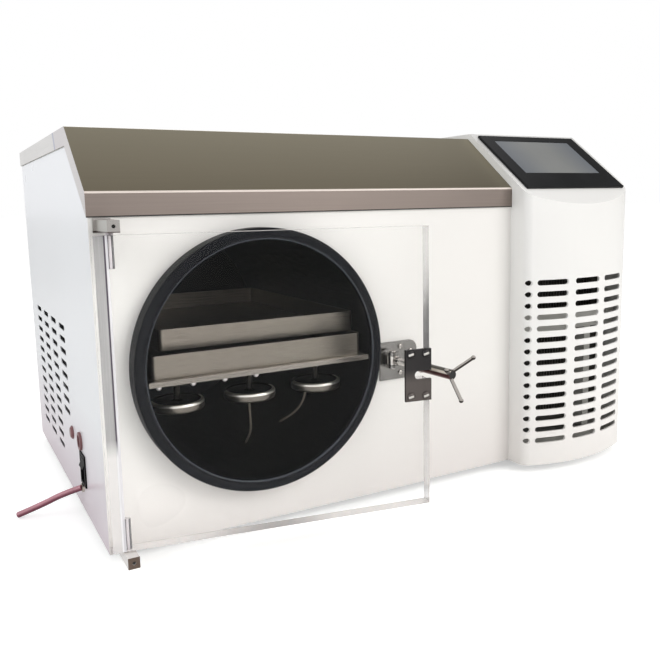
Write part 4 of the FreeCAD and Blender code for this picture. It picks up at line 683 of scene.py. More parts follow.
class Shape:
    """A mesh that is being shaped, in metres in the machine's own frame."""

    def __init__(self) -> None:
        """Start an empty mesh."""
        self.mesh = bmesh.new()

    def turn(self, profile: Sequence[Point], axis: Axis, centre: Place, steps: int = 64,
             closed: bool = False) -> Shape:
        """Turn a profile of (radius, place along the axis) pairs about a line.

        Args:
            profile: Pairs in metres; a radius of nothing lies on the line.
            axis: The direction of the line.
            centre: A point that the line runs through.
            steps: The number of steps round.
            closed: True if the last pair joins the first.

        Returns:
            The shape itself.
        """
        line, middle = Vector(axis.value), Vector(centre)
        side = Y if axis is Axis.ACROSS else X
        points = [self.mesh.verts.new(middle + side * radius + line * along)
                  for radius, along in profile]
        pairs = list(zip(points, points[1:])) + ([(points[-1], points[0])] if closed else [])
        edges = [self.mesh.edges.new(pair) for pair in pairs]
        bmesh.ops.spin(self.mesh, geom=points + edges, angle=2 * math.pi, steps=steps, axis=line,
                       cent=middle, use_merge=True)
        return self

    def block(self, low: Vector, high: Vector, bevel: float = 0.0, segments: int = 2) -> Shape:
        """Add a box between two corners, with its edges rounded.

        Args:
            low: The lowest corner.
            high: The highest corner.
            bevel: How wide the rounding is.
            segments: How many faces the rounding has.

        Returns:
            The shape itself.
        """
        size = high - low
        matrix = Matrix.Translation((low + high) / 2) @ Matrix.Diagonal((*size, 1))
        made = bmesh.ops.create_cube(self.mesh, size=1, matrix=matrix)["verts"]
        if bevel:
            self.bevel({edge for vert in made for edge in vert.link_edges}, bevel, segments)
        return self

    def rod(self, start: Vector, end: Vector, radius: float, segments: int = 24) -> Shape:
        """Add a round rod between two points.

        Args:
            start: The middle of one end.
            end: The middle of the other.
            radius: The rod's radius.
            segments: The number of steps round.

        Returns:
            The shape itself.
        """
        along = end - start
        turn = Z.rotation_difference(along.normalized()).to_matrix().to_4x4()
        bmesh.ops.create_cone(self.mesh, cap_ends=True, segments=segments, radius1=radius,
                              radius2=radius, depth=along.length,
                              matrix=Matrix.Translation((start + end) / 2) @ turn)
        return self

    def bevel(self, edges: Iterable[bmesh.types.BMEdge], width: float, segments: int = 2) -> Shape:
        """Round some edges.

        Args:
            edges: The edges.
            width: How wide the rounding is.
            segments: How many faces it has.

        Returns:
            The shape itself.
        """
        bmesh.ops.bevel(self.mesh, geom=list(edges), offset=width, offset_type="OFFSET",
                        segments=segments, profile=0.5, affect="EDGES", clamp_overlap=True,
                        material=-1)
        return self

    def sharp(self, angle: float, large: float = 0.0) -> list[bmesh.types.BMEdge]:
        """Return the edges that bend by more than an angle between faces over an area.

        Args:
            angle: The least bend, in degrees.
            large: The least area of the faces beside them.

        Returns:
            The edges.
        """
        return [edge for edge in self.mesh.edges
                if len(edge.link_faces) == 2 and edge.calc_face_angle(0.0) > math.radians(angle)
                and min(face.calc_area() for face in edge.link_faces) > large]

    def move(self, matrix: Matrix) -> Shape:
        """Carry the whole shape by a matrix.

        Args:
            matrix: The matrix.

        Returns:
            The shape itself.
        """
        bmesh.ops.transform(self.mesh, matrix=matrix, verts=self.mesh.verts)
        return self

    def slice(self, point: Vector, normal: Vector, chosen: FaceTest | None = None) -> Shape:
        """Cut faces in two along a plane, all of them or the chosen ones; nothing goes.

        Args:
            point: A point on the plane.
            normal: The way that the plane looks.
            chosen: Tells which faces are cut, or None for all.

        Returns:
            The shape itself.
        """
        self.mesh.normal_update()
        faces = [face for face in self.mesh.faces if chosen is None or chosen(face)]
        geom = faces + list({edge for face in faces for edge in face.edges}
                            | {vert for face in faces for vert in face.verts})
        bmesh.ops.bisect_plane(self.mesh, geom=geom, dist=1e-6, plane_co=point, plane_no=normal)
        return self

    def slot(self, centre: Vector, out: Vector, across: Vector, width: float,
             reach: float, depth: float) -> Shape:
        """Sink a straight driver slot into the faces round a point that look out.

        Args:
            centre: The point.
            out: The way that the faces look.
            across: The way over the slot.
            width: How wide the slot is.
            reach: How far it goes from the point.
            depth: How deep it goes.

        Returns:
            The shape itself.
        """
        for sign in (-1, 1):
            near = [face for face in self.mesh.faces
                    if (face.calc_center_median() - centre).length < reach * 1.6]
            geom = near + list({e for f in near for e in f.edges}
                               | {v for f in near for v in f.verts})
            bmesh.ops.bisect_plane(self.mesh, geom=geom, dist=1e-7, plane_no=across,
                                   plane_co=centre + across * sign * width / 2)
        lane = []
        for face in self.mesh.faces:
            offset = face.calc_center_median() - centre
            if (abs(offset.dot(across)) < width * 0.49 and offset.length < reach
                    and face.normal.dot(out) > 0.2):
                lane.append(face)
        made = bmesh.ops.extrude_face_region(self.mesh, geom=lane)["geom"]
        sunk = [item for item in made if isinstance(item, bmesh.types.BMVert)]
        bmesh.ops.delete(self.mesh, geom=lane, context="FACES")
        bmesh.ops.translate(self.mesh, verts=sunk, vec=-out * depth)
        return self

    def settle(self, outward: bool = True) -> Shape:
        """Merge doubled points, and turn every face outwards.

        Args:
            outward: False if the faces already point right.

        Returns:
            The shape itself.
        """
        bmesh.ops.remove_doubles(self.mesh, verts=self.mesh.verts, dist=2e-6)
        if outward:
            bmesh.ops.recalc_face_normals(self.mesh, faces=self.mesh.faces)
        return self


@dataclass
class Bench:
    """Where pieces are finished and put on the machine's bodies."""

    frame: dict

    def box(self, node: str) -> tuple[Vector, Vector]:
        """Return a CAD node's lowest and highest corners."""
        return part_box(node)

    def middle(self, node: str) -> Vector:
        """Return the middle of a CAD node's box."""
        low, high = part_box(node)
        return (low + high) / 2

    def joint(self, name: str) -> dict:
        """Return one of the record's joints."""
        return next(joint for joint in self.frame["joints"] if joint["name"] == name)

    def islands(self, node: str) -> list[list[Vector]]:
        """Return the points of each separate solid of a CAD node.

        Args:
            node: The node's name.

        Returns:
            Each solid's points, the solids in the order of their places.
        """
        source = bmesh.new()
        source.from_mesh(self.frame["nodes"][node].data)
        bmesh.ops.remove_doubles(source, verts=source.verts, dist=1e-6)
        left, found = set(source.verts), []
        while left:
            todo, island = [left.pop()], []
            while todo:
                vert = todo.pop()
                island.append(vert.co.copy())
                for edge in vert.link_edges:
                    other = edge.other_vert(vert)
                    if other in left:
                        left.remove(other)
                        todo.append(other)
            found.append(island)
        source.free()
        return sorted(found, key=lambda island: tuple(round(part, 5) for part in min(island)))

    def copy(self, node: str, flat: float = 0.4) -> Shape:
        """Return a merged copy of a CAD node's mesh, with its flat faces made whole.

        Args:
            node: The node's name.
            flat: Faces that bend by less than this, in degrees, are joined.

        Returns:
            The copy.
        """
        shape = Shape()
        shape.mesh.from_mesh(self.frame["nodes"][node].data)
        shape.settle(outward=False)
        bmesh.ops.dissolve_limit(shape.mesh, angle_limit=math.radians(flat),
                                 verts=shape.mesh.verts, edges=shape.mesh.edges)
        return shape

    def dress(self, node: str, finish: Finish) -> None:
        """Give a CAD node that stays as it is a finish.

        Args:
            node: The node's name.
            finish: Its finish.
        """
        data = self.frame["nodes"][node].data
        data.materials.clear()
        data.materials.append(Paint.of(finish))

    def keep(self, shape: Shape, name: str, body: str, slot: str, *finishes: Finish,
             replaces: Sequence[str] = (), part: FaceFinish | None = None,
             smooth: float = 38.0) -> bpy.types.Object:
        """Make a shape a piece of the machine.

        Args:
            shape: What was shaped; it is used up.
            name: The piece's name.
            body: The body that it rides on.
            slot: The record's material slot; not used.
            finishes: Its finish, and the others that part chooses among.
            replaces: The CAD nodes that it stands for.
            part: Tells which of the finishes a face takes.
            smooth: Edges that bend by more than this, in degrees, stay sharp.

        Returns:
            The piece.
        """
        mesh = shape.mesh
        mesh.normal_update()
        for face in mesh.faces:
            face.smooth = True
            face.material_index = finishes.index(part(face)) if part else 0
        for edge in mesh.edges:
            edge.smooth = edge.calc_face_angle(0.0) < math.radians(smooth)
        data = bpy.data.meshes.new(name)
        mesh.to_mesh(data)
        mesh.free()
        if data.attributes.get("custom_normal"):
            data.attributes.remove(data.attributes["custom_normal"])
        for finish in finishes:
            data.materials.append(Paint.of(finish))
        piece = bpy.data.objects.new(name, data)
        bpy.context.scene.collection.objects.link(piece)
        crisp = piece.modifiers.new("crisp_faces", "WEIGHTED_NORMAL")
        crisp.keep_sharp = True
        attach(piece, body)
        if replaces:
            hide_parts(*replaces)
        LOG.info("%s: %d faces on %s", name, len(data.polygons), body)
        return piece

    def refine(self, node: str, body: str, slot: str, finish: Finish, edge: float,
               angle: float = 40.0, segments: int = 2, flat: float = 0.4) -> bpy.types.Object:
        """Stand in for a CAD node with the same shape and softened edges.

        Args:
            node: The node's name.
            body: The body that it rides on.
            slot: The record's material slot.
            finish: Its finish.
            edge: How wide the softening is.
            angle: The least bend that is softened, in degrees.
            segments: How many faces the softening has.
            flat: Faces that bend by less than this, in degrees, are joined.

        Returns:
            The piece.
        """
        shape = self.copy(node, flat)
        shape.bevel(shape.sharp(angle), edge, segments)
        return self.keep(shape, f"{node}_finished", body, slot, finish, replaces=(node,))


# Studio


@dataclass(frozen=True)
class Lamp:
    """A large soft lamp."""

    name: str
    place: Place
    aim: Place
    size: float
    power: float
    tone: Colour

    def hang(self) -> None:
        """Hang the lamp in the room, turned to what it lights."""
        data = bpy.data.lights.new(self.name, "AREA")
        data.size, data.energy, data.color = self.size, self.power, self.tone
        lamp = bpy.data.objects.new(self.name, data)
        lamp.location = self.place
        lamp.rotation_mode = "QUATERNION"
        way = Vector(self.aim) - Vector(self.place)
        lamp.rotation_quaternion = way.to_track_quat("-Z", "Y")
        bpy.context.scene.collection.objects.link(lamp)


@dataclass
class Studio:
    """The floor, the light and the camera."""

    floor_half: float = 40.0
    floor_tone: Colour = (0.86, 0.86, 0.85)
    floor_glow: float = 0.45
    eye: Place = (-0.5580319, -1.0471211, 0.40575)
    right: Place = (0.87222, -0.48872, -0.01953)
    up: Place = (0.08456, 0.11135, 0.99018)
    back: Place = (-0.48174, -0.86531, 0.13845)
    lens: float = 40.367
    sensor: float = 36.0
    shift: Point = (-0.0177, -0.0345)
    room_light: float = 0.70
    overhead: tuple[tuple[float, Colour], ...] = ((0.25, (1.0, 1.0, 1.0)),
                                                  (0.85, (0.62, 0.61, 0.60)))
    beside: tuple[tuple[float, Colour], ...] = ((0.60, (1.0, 1.0, 1.02)),
                                                (0.72, (0.22, 0.22, 0.2244)))
    lamps: tuple[Lamp, ...] = (
        Lamp("key", (1.3, -2.3, 1.7), (0.0, 0.0, 0.25), 1.8, 34.0, (1.0, 0.985, 0.965)),
        Lamp("fill", (-2.4, -0.6, 1.3), (-0.2, 0.0, 0.25), 1.6, 15.0, (0.93, 0.965, 1.0)),
        Lamp("back", (0.6, 2.4, 1.8), (0.0, 0.2, 0.3), 1.6, 16.0, (1.0, 1.0, 1.0)))

    def build(self) -> None:
        """Lay the floor and light the room."""
        self.floor()
        self.world()
        for lamp in self.lamps:
            lamp.hang()

    def camera(self) -> None:
        """Put the camera at its place, turned by its own right, up and back directions."""
        data = bpy.data.cameras.new("camera")
        data.lens, data.sensor_width = self.lens, self.sensor
        data.shift_x, data.shift_y = self.shift
        data.clip_start, data.clip_end = 0.02, 200.0
        camera = bpy.data.objects.new("camera", data)
        turn = Matrix((self.right, self.up, self.back)).transposed().to_4x4()
        camera.matrix_world = Matrix.Translation(self.eye) @ turn
        bpy.context.scene.collection.objects.link(camera)
        bpy.context.scene.camera = camera
        bpy.context.scene.view_settings.view_transform = "Standard"

    def floor(self) -> None:
        """Lay a pale floor that keeps the machine's shadow."""
        mesh = bmesh.new()
        bmesh.ops.create_grid(mesh, x_segments=2, y_segments=2, size=self.floor_half)
        data = bpy.data.meshes.new("floor")
        mesh.to_mesh(data)
        mesh.free()
        made = Recipe("floor_paper").set(roughness=0.9, specular_ior_level=0.1)
        made.colour(made.mixed(made.noise(0.7, 1.0), self.floor_tone,
                               shade(self.floor_tone, 1.03)))
        glow = made.tree.nodes.new("ShaderNodeEmission")
        glow.inputs[0].default_value = (1, 1, 1, 1)
        rays = made.tree.nodes.new("ShaderNodeLightPath")
        seen = self.seen(made.tree, rays)
        made.join(made.spread(seen, (0, 1), (0, self.floor_glow)), glow.inputs[1])
        both = made.tree.nodes.new("ShaderNodeAddShader")
        made.join(made.surface.outputs[0], both.inputs[0])
        made.join(glow.outputs[0], both.inputs[1])
        made.join(both.outputs[0], made.output.inputs[0])
        data.materials.append(made.material)
        floor = bpy.data.objects.new("floor", data)
        bpy.context.scene.collection.objects.link(floor)

    @staticmethod
    def seen(tree: bpy.types.NodeTree, rays: bpy.types.Node) -> Socket:
        """Return 1 for what the camera sees by itself or through glass.

        Args:
            tree: The nodes that it goes among.
            rays: The node that tells one ray from another.

        Returns:
            The number, 0 or 1.
        """
        node = tree.nodes.new("ShaderNodeMath")
        node.operation = "MAXIMUM"
        tree.links.new(rays.outputs["Is Camera Ray"], node.inputs[0])
        tree.links.new(rays.outputs["Is Transmission Ray"], node.inputs[1])
        return node.outputs[0]

    @staticmethod
    def ramp(tree: bpy.types.NodeTree, number: Socket,
             stops: Sequence[tuple[float, Colour]]) -> Socket:
        """Return the colour that a number picks between two stops.

        Args:
            tree: The nodes that the ramp goes among.
            number: The number.
            stops: Each stop's number and colour.

        Returns:
            The colour.
        """
        node = tree.nodes.new("ShaderNodeValToRGB")
        for element, (spot, tone) in zip(node.color_ramp.elements, stops):
            element.position, element.color = spot, (*tone, 1.0)
        tree.links.new(number, node.inputs[0])
        return node.outputs[0]

    @staticmethod
    def choice(tree: bpy.types.NodeTree, test: Socket, first: Socket, second: Socket) -> Socket:
        """Return the first of two shaders where a test is 0, and the second where it is 1.

        Args:
            tree: The nodes that it goes among.
            test: The test, 0 or 1.
            first: The first shader.
            second: The second shader.

        Returns:
            The chosen shader.
        """
        node = tree.nodes.new("ShaderNodeMixShader")
        for source, target in zip((test, first, second), node.inputs):
            tree.links.new(source, target)
        return node.outputs[0]

    def world(self) -> None:
        """Light the room evenly, white where it is seen, and darker overhead in mirrors."""
        world = bpy.data.worlds.new("studio")
        world.use_nodes = True
        bpy.context.scene.world = world
        tree = world.node_tree
        tree.nodes.clear()
        split = tree.nodes.new("ShaderNodeSeparateXYZ")
        place = tree.nodes.new("ShaderNodeTexCoord")
        tree.links.new(place.outputs["Generated"], split.inputs[0])
        room = tree.nodes.new("ShaderNodeMix")
        room.data_type, room.blend_type = "RGBA", "MULTIPLY"
        room.inputs[0].default_value = 1.0
        tree.links.new(self.ramp(tree, split.outputs[2], self.overhead), room.inputs[6])
        tree.links.new(self.ramp(tree, split.outputs[0], self.beside), room.inputs[7])
        light, mirrored, bare = (tree.nodes.new("ShaderNodeBackground") for _ in range(3))
        for ground, strength in ((light, self.room_light), (mirrored, 1.0), (bare, 1.0)):
            ground.inputs[0].default_value = (1.0, 1.0, 1.0, 1.0)
            ground.inputs[1].default_value = strength
        tree.links.new(room.outputs[2], mirrored.inputs[0])
        rays = tree.nodes.new("ShaderNodeLightPath")
        unseen = self.choice(tree, rays.outputs["Is Glossy Ray"], light.outputs[0],
                             mirrored.outputs[0])
        lit = self.choice(tree, self.seen(tree, rays), unseen, bare.outputs[0])
        output = tree.nodes.new("ShaderNodeOutputWorld")
        tree.links.new(lit, output.inputs[0])


# Screws


@dataclass
class PanScrew:
    """A slotted pan-head screw."""

    head_radius: float = 3.6 * MM
    head_height: float = 2.4 * MM
    shank_radius: float = 2.0 * MM
    slot_width: float = 0.9 * MM
    slot_depth: float = 1.1 * MM
    steps: int = 28

    def add(self, shape: Shape, seat: Vector, out: Vector, length: float, lean: float) -> None:
        """Add a screw whose head sits on a seat.

        Args:
            shape: What the screw is added to.
            seat: The middle of the head's underside.
            out: The way that the head looks.
            length: The shank's length.
            lean: The slot's angle from level, in radians.
        """
        radius, height = self.head_radius, self.head_height
        profile = [(0.0, height), (radius * 0.45, height * 0.985), (radius * 0.78, height * 0.86),
                   (radius * 0.95, height * 0.55), (radius, height * 0.2), (radius * 0.98, 0.0),
                   (self.shank_radius, 0.0), (self.shank_radius, -length * 0.94),
                   (self.shank_radius * 0.8, -length), (0.0, -length)]
        screw = Shape().turn(profile, Axis.UP, (0, 0, 0), self.steps).settle()
        across = Vector((math.sin(lean), math.cos(lean), 0))
        screw.slot(Vector((0, 0, height)), Z, across, self.slot_width, radius * 0.86,
                   self.slot_depth)
        screw.settle(outward=False)
        turn = Z.rotation_difference(out).to_matrix().to_4x4()
        screw.move(Matrix.Translation(seat) @ turn)
        carrier = bpy.data.meshes.new("screw")
        screw.mesh.to_mesh(carrier)
        screw.mesh.free()
        shape.mesh.from_mesh(carrier)
        bpy.data.meshes.remove(carrier)

    def fill(self, bench: Bench, node: str, out: Vector, lean: Point) -> Shape:
        """Make a screw at each place where a CAD node has one.

        Args:
            bench: The bench.
            node: The node's name.
            out: The way that the heads look.
            lean: The first slot's angle from level and each next one's turn, in radians.

        Returns:
            The screws.
        """
        shape = Shape()
        for number, (seat, length) in enumerate(screw_seats(bench, node, out, self.head_height)):
            self.add(shape, seat, out, length, lean[0] + lean[1] * number)
        return shape


def screw_seats(bench: Bench, node: str, out: Vector, head: float) -> list[tuple[Vector, float]]:
    """Measure where a CAD node's screws sit.

    Args:
        bench: The bench.
        node: The node's name.
        out: The way that the heads look.
        head: How high the heads stand.

    Returns:
        Each screw's seat and its shank's length.
    """
    found = []
    for island in bench.islands(node):
        heights = [point.dot(out) for point in island]
        top, low = max(heights), min(heights)
        rim = [point for point in island if point.dot(out) > top - 1e-5]
        found.append((sum(rim, Vector()) / len(rim) - out * head, top - head - low))
    return found


# Casing


@dataclass(frozen=True)
class LidMap:
    """Where the lid's front lip and its left end's strips lie, and how each is finished; under the
    height foot the lip takes a painted shadow.
    """

    low: Vector
    foot: float
    seam: Vector
    across: Vector
    seam_half: float
    near: float = 1.0 * MM
    fold_near: float = 2.5 * MM

    def on_lip(self, face: bmesh.types.BMFace) -> bool:
        """Return True for a face of the front lip."""
        return (face.normal.y < -0.985
                and face.calc_center_median().y < self.low.y + self.near)

    def on_end(self, face: bmesh.types.BMFace) -> bool:
        """Return True for a face of the left end's outside."""
        return (face.normal.x < -0.7
                and face.calc_center_median().x < self.low.x + 2 * self.near)

    def finish(self, face: bmesh.types.BMFace) -> Finish:
        """Choose a face's finish.

        Args:
            face: A face of the lid.

        Returns:
            The finish.
        """
        middle, normal = face.calc_center_median(), face.normal
        if self.on_lip(face):
            # A painted shadow along the lip's lower edge.
            return Paint.DARK_AND_SHADE if middle.z < self.foot else Paint.LIP_REFLECTION
        if middle.x < self.low.x + self.near and normal.x < -0.7:
            offset = (middle - self.seam).dot(self.across)
            if abs(offset) < self.seam_half:
                return Paint.SEAM
            return Paint.LID_TOP_END if offset > 0 else Paint.LID_END
        # The front fold's rounding takes a painted highlight.
        if normal.y < -0.65 and middle.y < self.low.y + self.fold_near and normal.z > 0.02:
            return Paint.FOLD_HIGHLIGHT
        return Paint.LID


@dataclass
class Casing:
    """The cabinet's sheets, its folded steel lid and its feet.

    The seam is where the lid's two end strips meet: how far back it lies, how wide it is and how
    much it leans. A foot's outline is pairs of radius and rise in millimetres.
    """

    bench: Bench
    sheet_edge: float = 0.35 * MM
    fold_radius: float = 1.5 * MM
    fold_area: float = 0.004
    seam_back: float = 188.0 * MM
    seam_width: float = 9.0 * MM
    seam_lean: float = -0.5
    # The height of the painted shadow along the lip's lower edge.
    lip_shadow_height: float = 1.4 * MM
    foot_rise: tuple[Point, ...] = ((0.0, 0.0), (8.0, 0.0), (9.0, 1.0), (11.6, 1.0), (12.4, 0.2),
                                    (13.0, 0.9), (15.0, 11.0), (15.0, 12.0), (0.0, 12.0))

    def build(self) -> None:
        """Make all of the casing."""
        self.panels()
        self.lid()
        self.feet()
        self.lid_screws()

    def panels(self) -> None:
        """Finish the painted sheets, their cut edges just broken."""
        for node, finish in (("front_panel", Paint.FRONT), ("left_side_panel", Paint.SIDE),
                             ("right_side_panel", Paint.SIDE), ("rear_panel", Paint.SHELL)):
            self.bench.refine(node, MACHINE, "white_panel", finish, self.sheet_edge)
        self.bench.refine("base_pan", MACHINE, "white_panel", Paint.PAN, self.sheet_edge)

    def lid(self) -> None:
        """Fold the lid: rounded folds along its length with a painted highlight on the front one,
        bright skirts at its ends, and a painted shadow along the lip's lower edge.
        """
        shape = self.bench.copy("top_lid")
        folds = [edge for edge in shape.sharp(25.0, self.fold_area)
                 if abs((edge.verts[0].co - edge.verts[1].co).normalized().x) > 0.99]
        shape.bevel(folds, self.fold_radius, 3)
        shape.bevel(shape.sharp(60.0), self.sheet_edge * 0.7, 1)
        low, high = self.bench.box("top_lid")
        foot = min(vert.co.z for vert in shape.mesh.verts if vert.co.y < low.y + 1.0 * MM)
        lid = LidMap(low, foot + self.lip_shadow_height, Vector((low.x, low.y + self.seam_back, high.z)),
                     Vector((0, 1, self.seam_lean)).normalized(), self.seam_width / 2)
        for offset in (-lid.seam_half, lid.seam_half):
            shape.slice(lid.seam + lid.across * offset, lid.across, lid.on_end)
        # Cut off the lip's lowest strip for its painted shadow.
        shape.slice(Vector((0, 0, lid.foot)), Z, lid.on_lip)
        self.bench.keep(shape, "top_lid_finished", MACHINE, "stainless", Paint.LID, Paint.LIP_REFLECTION,
                        Paint.FOLD_HIGHLIGHT, Paint.LID_END, Paint.SEAM, Paint.LID_TOP_END, Paint.DARK_AND_SHADE,
                        replaces=("top_lid",), part=lid.finish)

    def feet(self) -> None:
        """Turn the four rubber feet, each with a recess for its screw."""
        for node in ("foot_front_left", "foot_rear_left", "foot_front_right", "foot_rear_right"):
            low, high = self.bench.box(node)
            centre = ((low.x + high.x) / 2, (low.y + high.y) / 2, low.z)
            profile = [(radius * MM, rise * MM) for radius, rise in self.foot_rise]
            shape = Shape().turn(profile, Axis.UP, centre, 40).settle()
            self.bench.keep(shape, f"{node}_finished", MACHINE, "black_rubber", Paint.FOOT,
                            replaces=(node,))

    def lid_screws(self) -> None:
        """Put the screws in the lid's rear skirt."""
        shape = PanScrew().fill(self.bench, "lid_screws", Y, (0.5, 0.9))
        self.bench.keep(shape, "lid_screws_finished", MACHINE, "chrome", Paint.CHROME,
                        replaces=("lid_screws",))


# Tower


@dataclass
class Tower:
    """The white tower with its touch panel and what shows behind its slots."""

    bench: Bench
    edge: float = 0.6 * MM
    frame_inset: float = 8.0 * MM
    frame_sheet: float = 1.5 * MM
    sill: Point = (14.5 * MM, 44.0 * MM)
    rail: Point = (206.0 * MM, 240.0 * MM)
    frame_ahead: float = 28.0 * MM
    post_ahead: Point = (26.0 * MM, 8.0 * MM)
    post_from_left: float = 150.5 * MM
    post_width: float = 13.0 * MM

    def build(self) -> None:
        """Make all of the tower."""
        self.shell()
        self.touch_panel()
        self.inner_frame()

    def shell(self) -> None:
        """Finish the shell, with its slots' rims softened, and its floor."""
        self.bench.refine("tower_shell", MACHINE, "white_shell", Paint.SHELL, self.edge,
                          segments=2, flat=0.2)
        self.bench.refine("tower_floor", MACHINE, "white_panel", Paint.PAN, 0.3 * MM)

    def touch_panel(self) -> None:
        """Finish the black bezel, its sleeping screen and the housing under it."""
        self.bench.refine("touch_panel_bezel", MACHINE, "black_plastic", Paint.BEZEL, 0.9 * MM,
                          segments=3)
        screen = DarkScreen("sleeping_screen", (0.215, 0.22, 0.215),
                            middle=self.bench.middle("touch_panel_screen").x)
        self.bench.refine("touch_panel_screen", MACHINE, "screen_glass", screen, 0.2 * MM)
        self.bench.refine("touch_panel_housing", MACHINE, "black_plastic", Paint.BLACK, 0.8 * MM)

    def inner_frame(self) -> None:
        """Add the pale sill, rail and post that the condenser hangs on, behind the slots."""
        low, high = self.bench.box("tower_shell")
        front = self.bench.box("condenser_radiator")[0].y
        left, right = low.x + self.frame_inset, high.x - self.frame_inset
        shape = Shape()
        for bottom, top in (self.sill, self.rail):
            shape.block(Vector((left, front - self.frame_ahead, bottom)),
                        Vector((right, front - self.frame_ahead + self.frame_sheet, top)),
                        0.3 * MM, 1)
        post = low.x + self.post_from_left
        shape.block(Vector((post, front - self.post_ahead[0], self.sill[1])),
                    Vector((post + self.post_width, front - self.post_ahead[1], self.rail[0])),
                    0.3 * MM, 1)
        self.bench.keep(shape, "condenser_frame", MACHINE, "aluminium", Paint.PALE)


# Vacuum chamber


@dataclass
class Chamber:
    """The round chamber, its gasket and what is wrapped round it.

    The gasket's section is pairs of how far a point is past the gasket's outer edge and how far
    back it is from its front, in millimetres.
    """

    bench: Bench
    gasket: tuple[Point, ...] = (
        (-14.0, 5.8), (-14.0, 1.5), (-13.5, 0.5), (-12.4, 0.0), (-11.3, 0.4), (-10.6, 1.3),
        (-9.6, 1.3), (-8.2, 0.5), (-5.2, 0.0), (-2.6, 0.3), (-0.9, 1.2), (0.0, 3.2), (0.0, 24.4),
        (-0.5, 25.0), (-1.3, 25.0), (-1.8, 24.4), (-1.8, 5.8))
    bead_reach: float = 12.7 * MM

    def build(self) -> None:
        """Make all of the chamber."""
        low, high = self.bench.box("door_gasket")
        centre = ((low.x + high.x) / 2, low.y, (low.z + high.z) / 2)
        outer = (high.x - low.x) / 2
        profile = [(outer + radius * MM, back * MM) for radius, back in self.gasket]
        ring = Shape().turn(profile, Axis.BACK, centre, 160, closed=True).settle()
        bead = outer - self.bead_reach

        def part(face: bmesh.types.BMFace) -> Finish:
            """Tell the bead, which carries a painted highlight, from the rest of the gasket.

            Args:
                face: The face.

            Returns:
                Its finish.
            """
            at = face.calc_center_median() - Vector(centre)
            on_bead = math.hypot(at.x, at.z) < bead and face.normal.y < -0.2
            return Paint.BEAD_HIGHLIGHT if on_bead else Paint.RUBBER

        self.bench.keep(ring, "door_gasket_finished", MACHINE, "black_rubber", Paint.RUBBER,
                        Paint.BEAD_HIGHLIGHT, replaces=("door_gasket",), smooth=55.0, part=part)
        # The chamber's steel takes painted shade.
        self.bench.dress("chamber_shell", Paint.VESSEL_SHADE)
        self.bench.refine("chamber_flange", MACHINE, "stainless", Paint.VESSEL_SHADE, 0.4 * MM)
        self.bench.dress("chamber_insulation", Paint.FOAM)
        self.bench.refine("vacuum_port", MACHINE, "stainless", Paint.SHELF, 0.4 * MM)
        self.coil(centre)

    def coil(self, centre: Place, turns: int = 10, steps: int = 40, tube: float = 4 * MM) -> None:
        """Wind the cooling tube round the chamber.

        Args:
            centre: The middle of the chamber's mouth.
            turns: How many turns there are.
            steps: The number of steps in a turn.
            tube: The tube's radius.
        """
        low, high = self.bench.box("evaporator_coil")
        radius = (high.x - low.x) / 2 - tube
        shape = Shape()
        start = Vector((centre[0] + radius, low.y + tube, centre[2]))
        ring = bmesh.ops.create_circle(shape.mesh, segments=10, radius=tube,
                                       matrix=Matrix.Translation(start))["verts"]
        edges = list({edge for vert in ring for edge in vert.link_edges})
        rise = (high.y - low.y - 2 * tube) / (turns * steps)
        made = bmesh.ops.spin(shape.mesh, geom=ring + edges, angle=2 * math.pi * turns,
                              steps=turns * steps, axis=-Y, cent=(centre[0], 0, centre[2]),
                              dvec=(0, rise, 0))
        last = [item for item in made["geom_last"] if isinstance(item, bmesh.types.BMEdge)]
        bmesh.ops.edgeloop_fill(shape.mesh, edges=edges)
        bmesh.ops.edgeloop_fill(shape.mesh, edges=last)
        shape.settle()
        self.bench.keep(shape, "evaporator_coil_finished", MACHINE, "copper", Paint.COPPER,
                        replaces=("evaporator_coil",))


# Shelf, trays and heaters


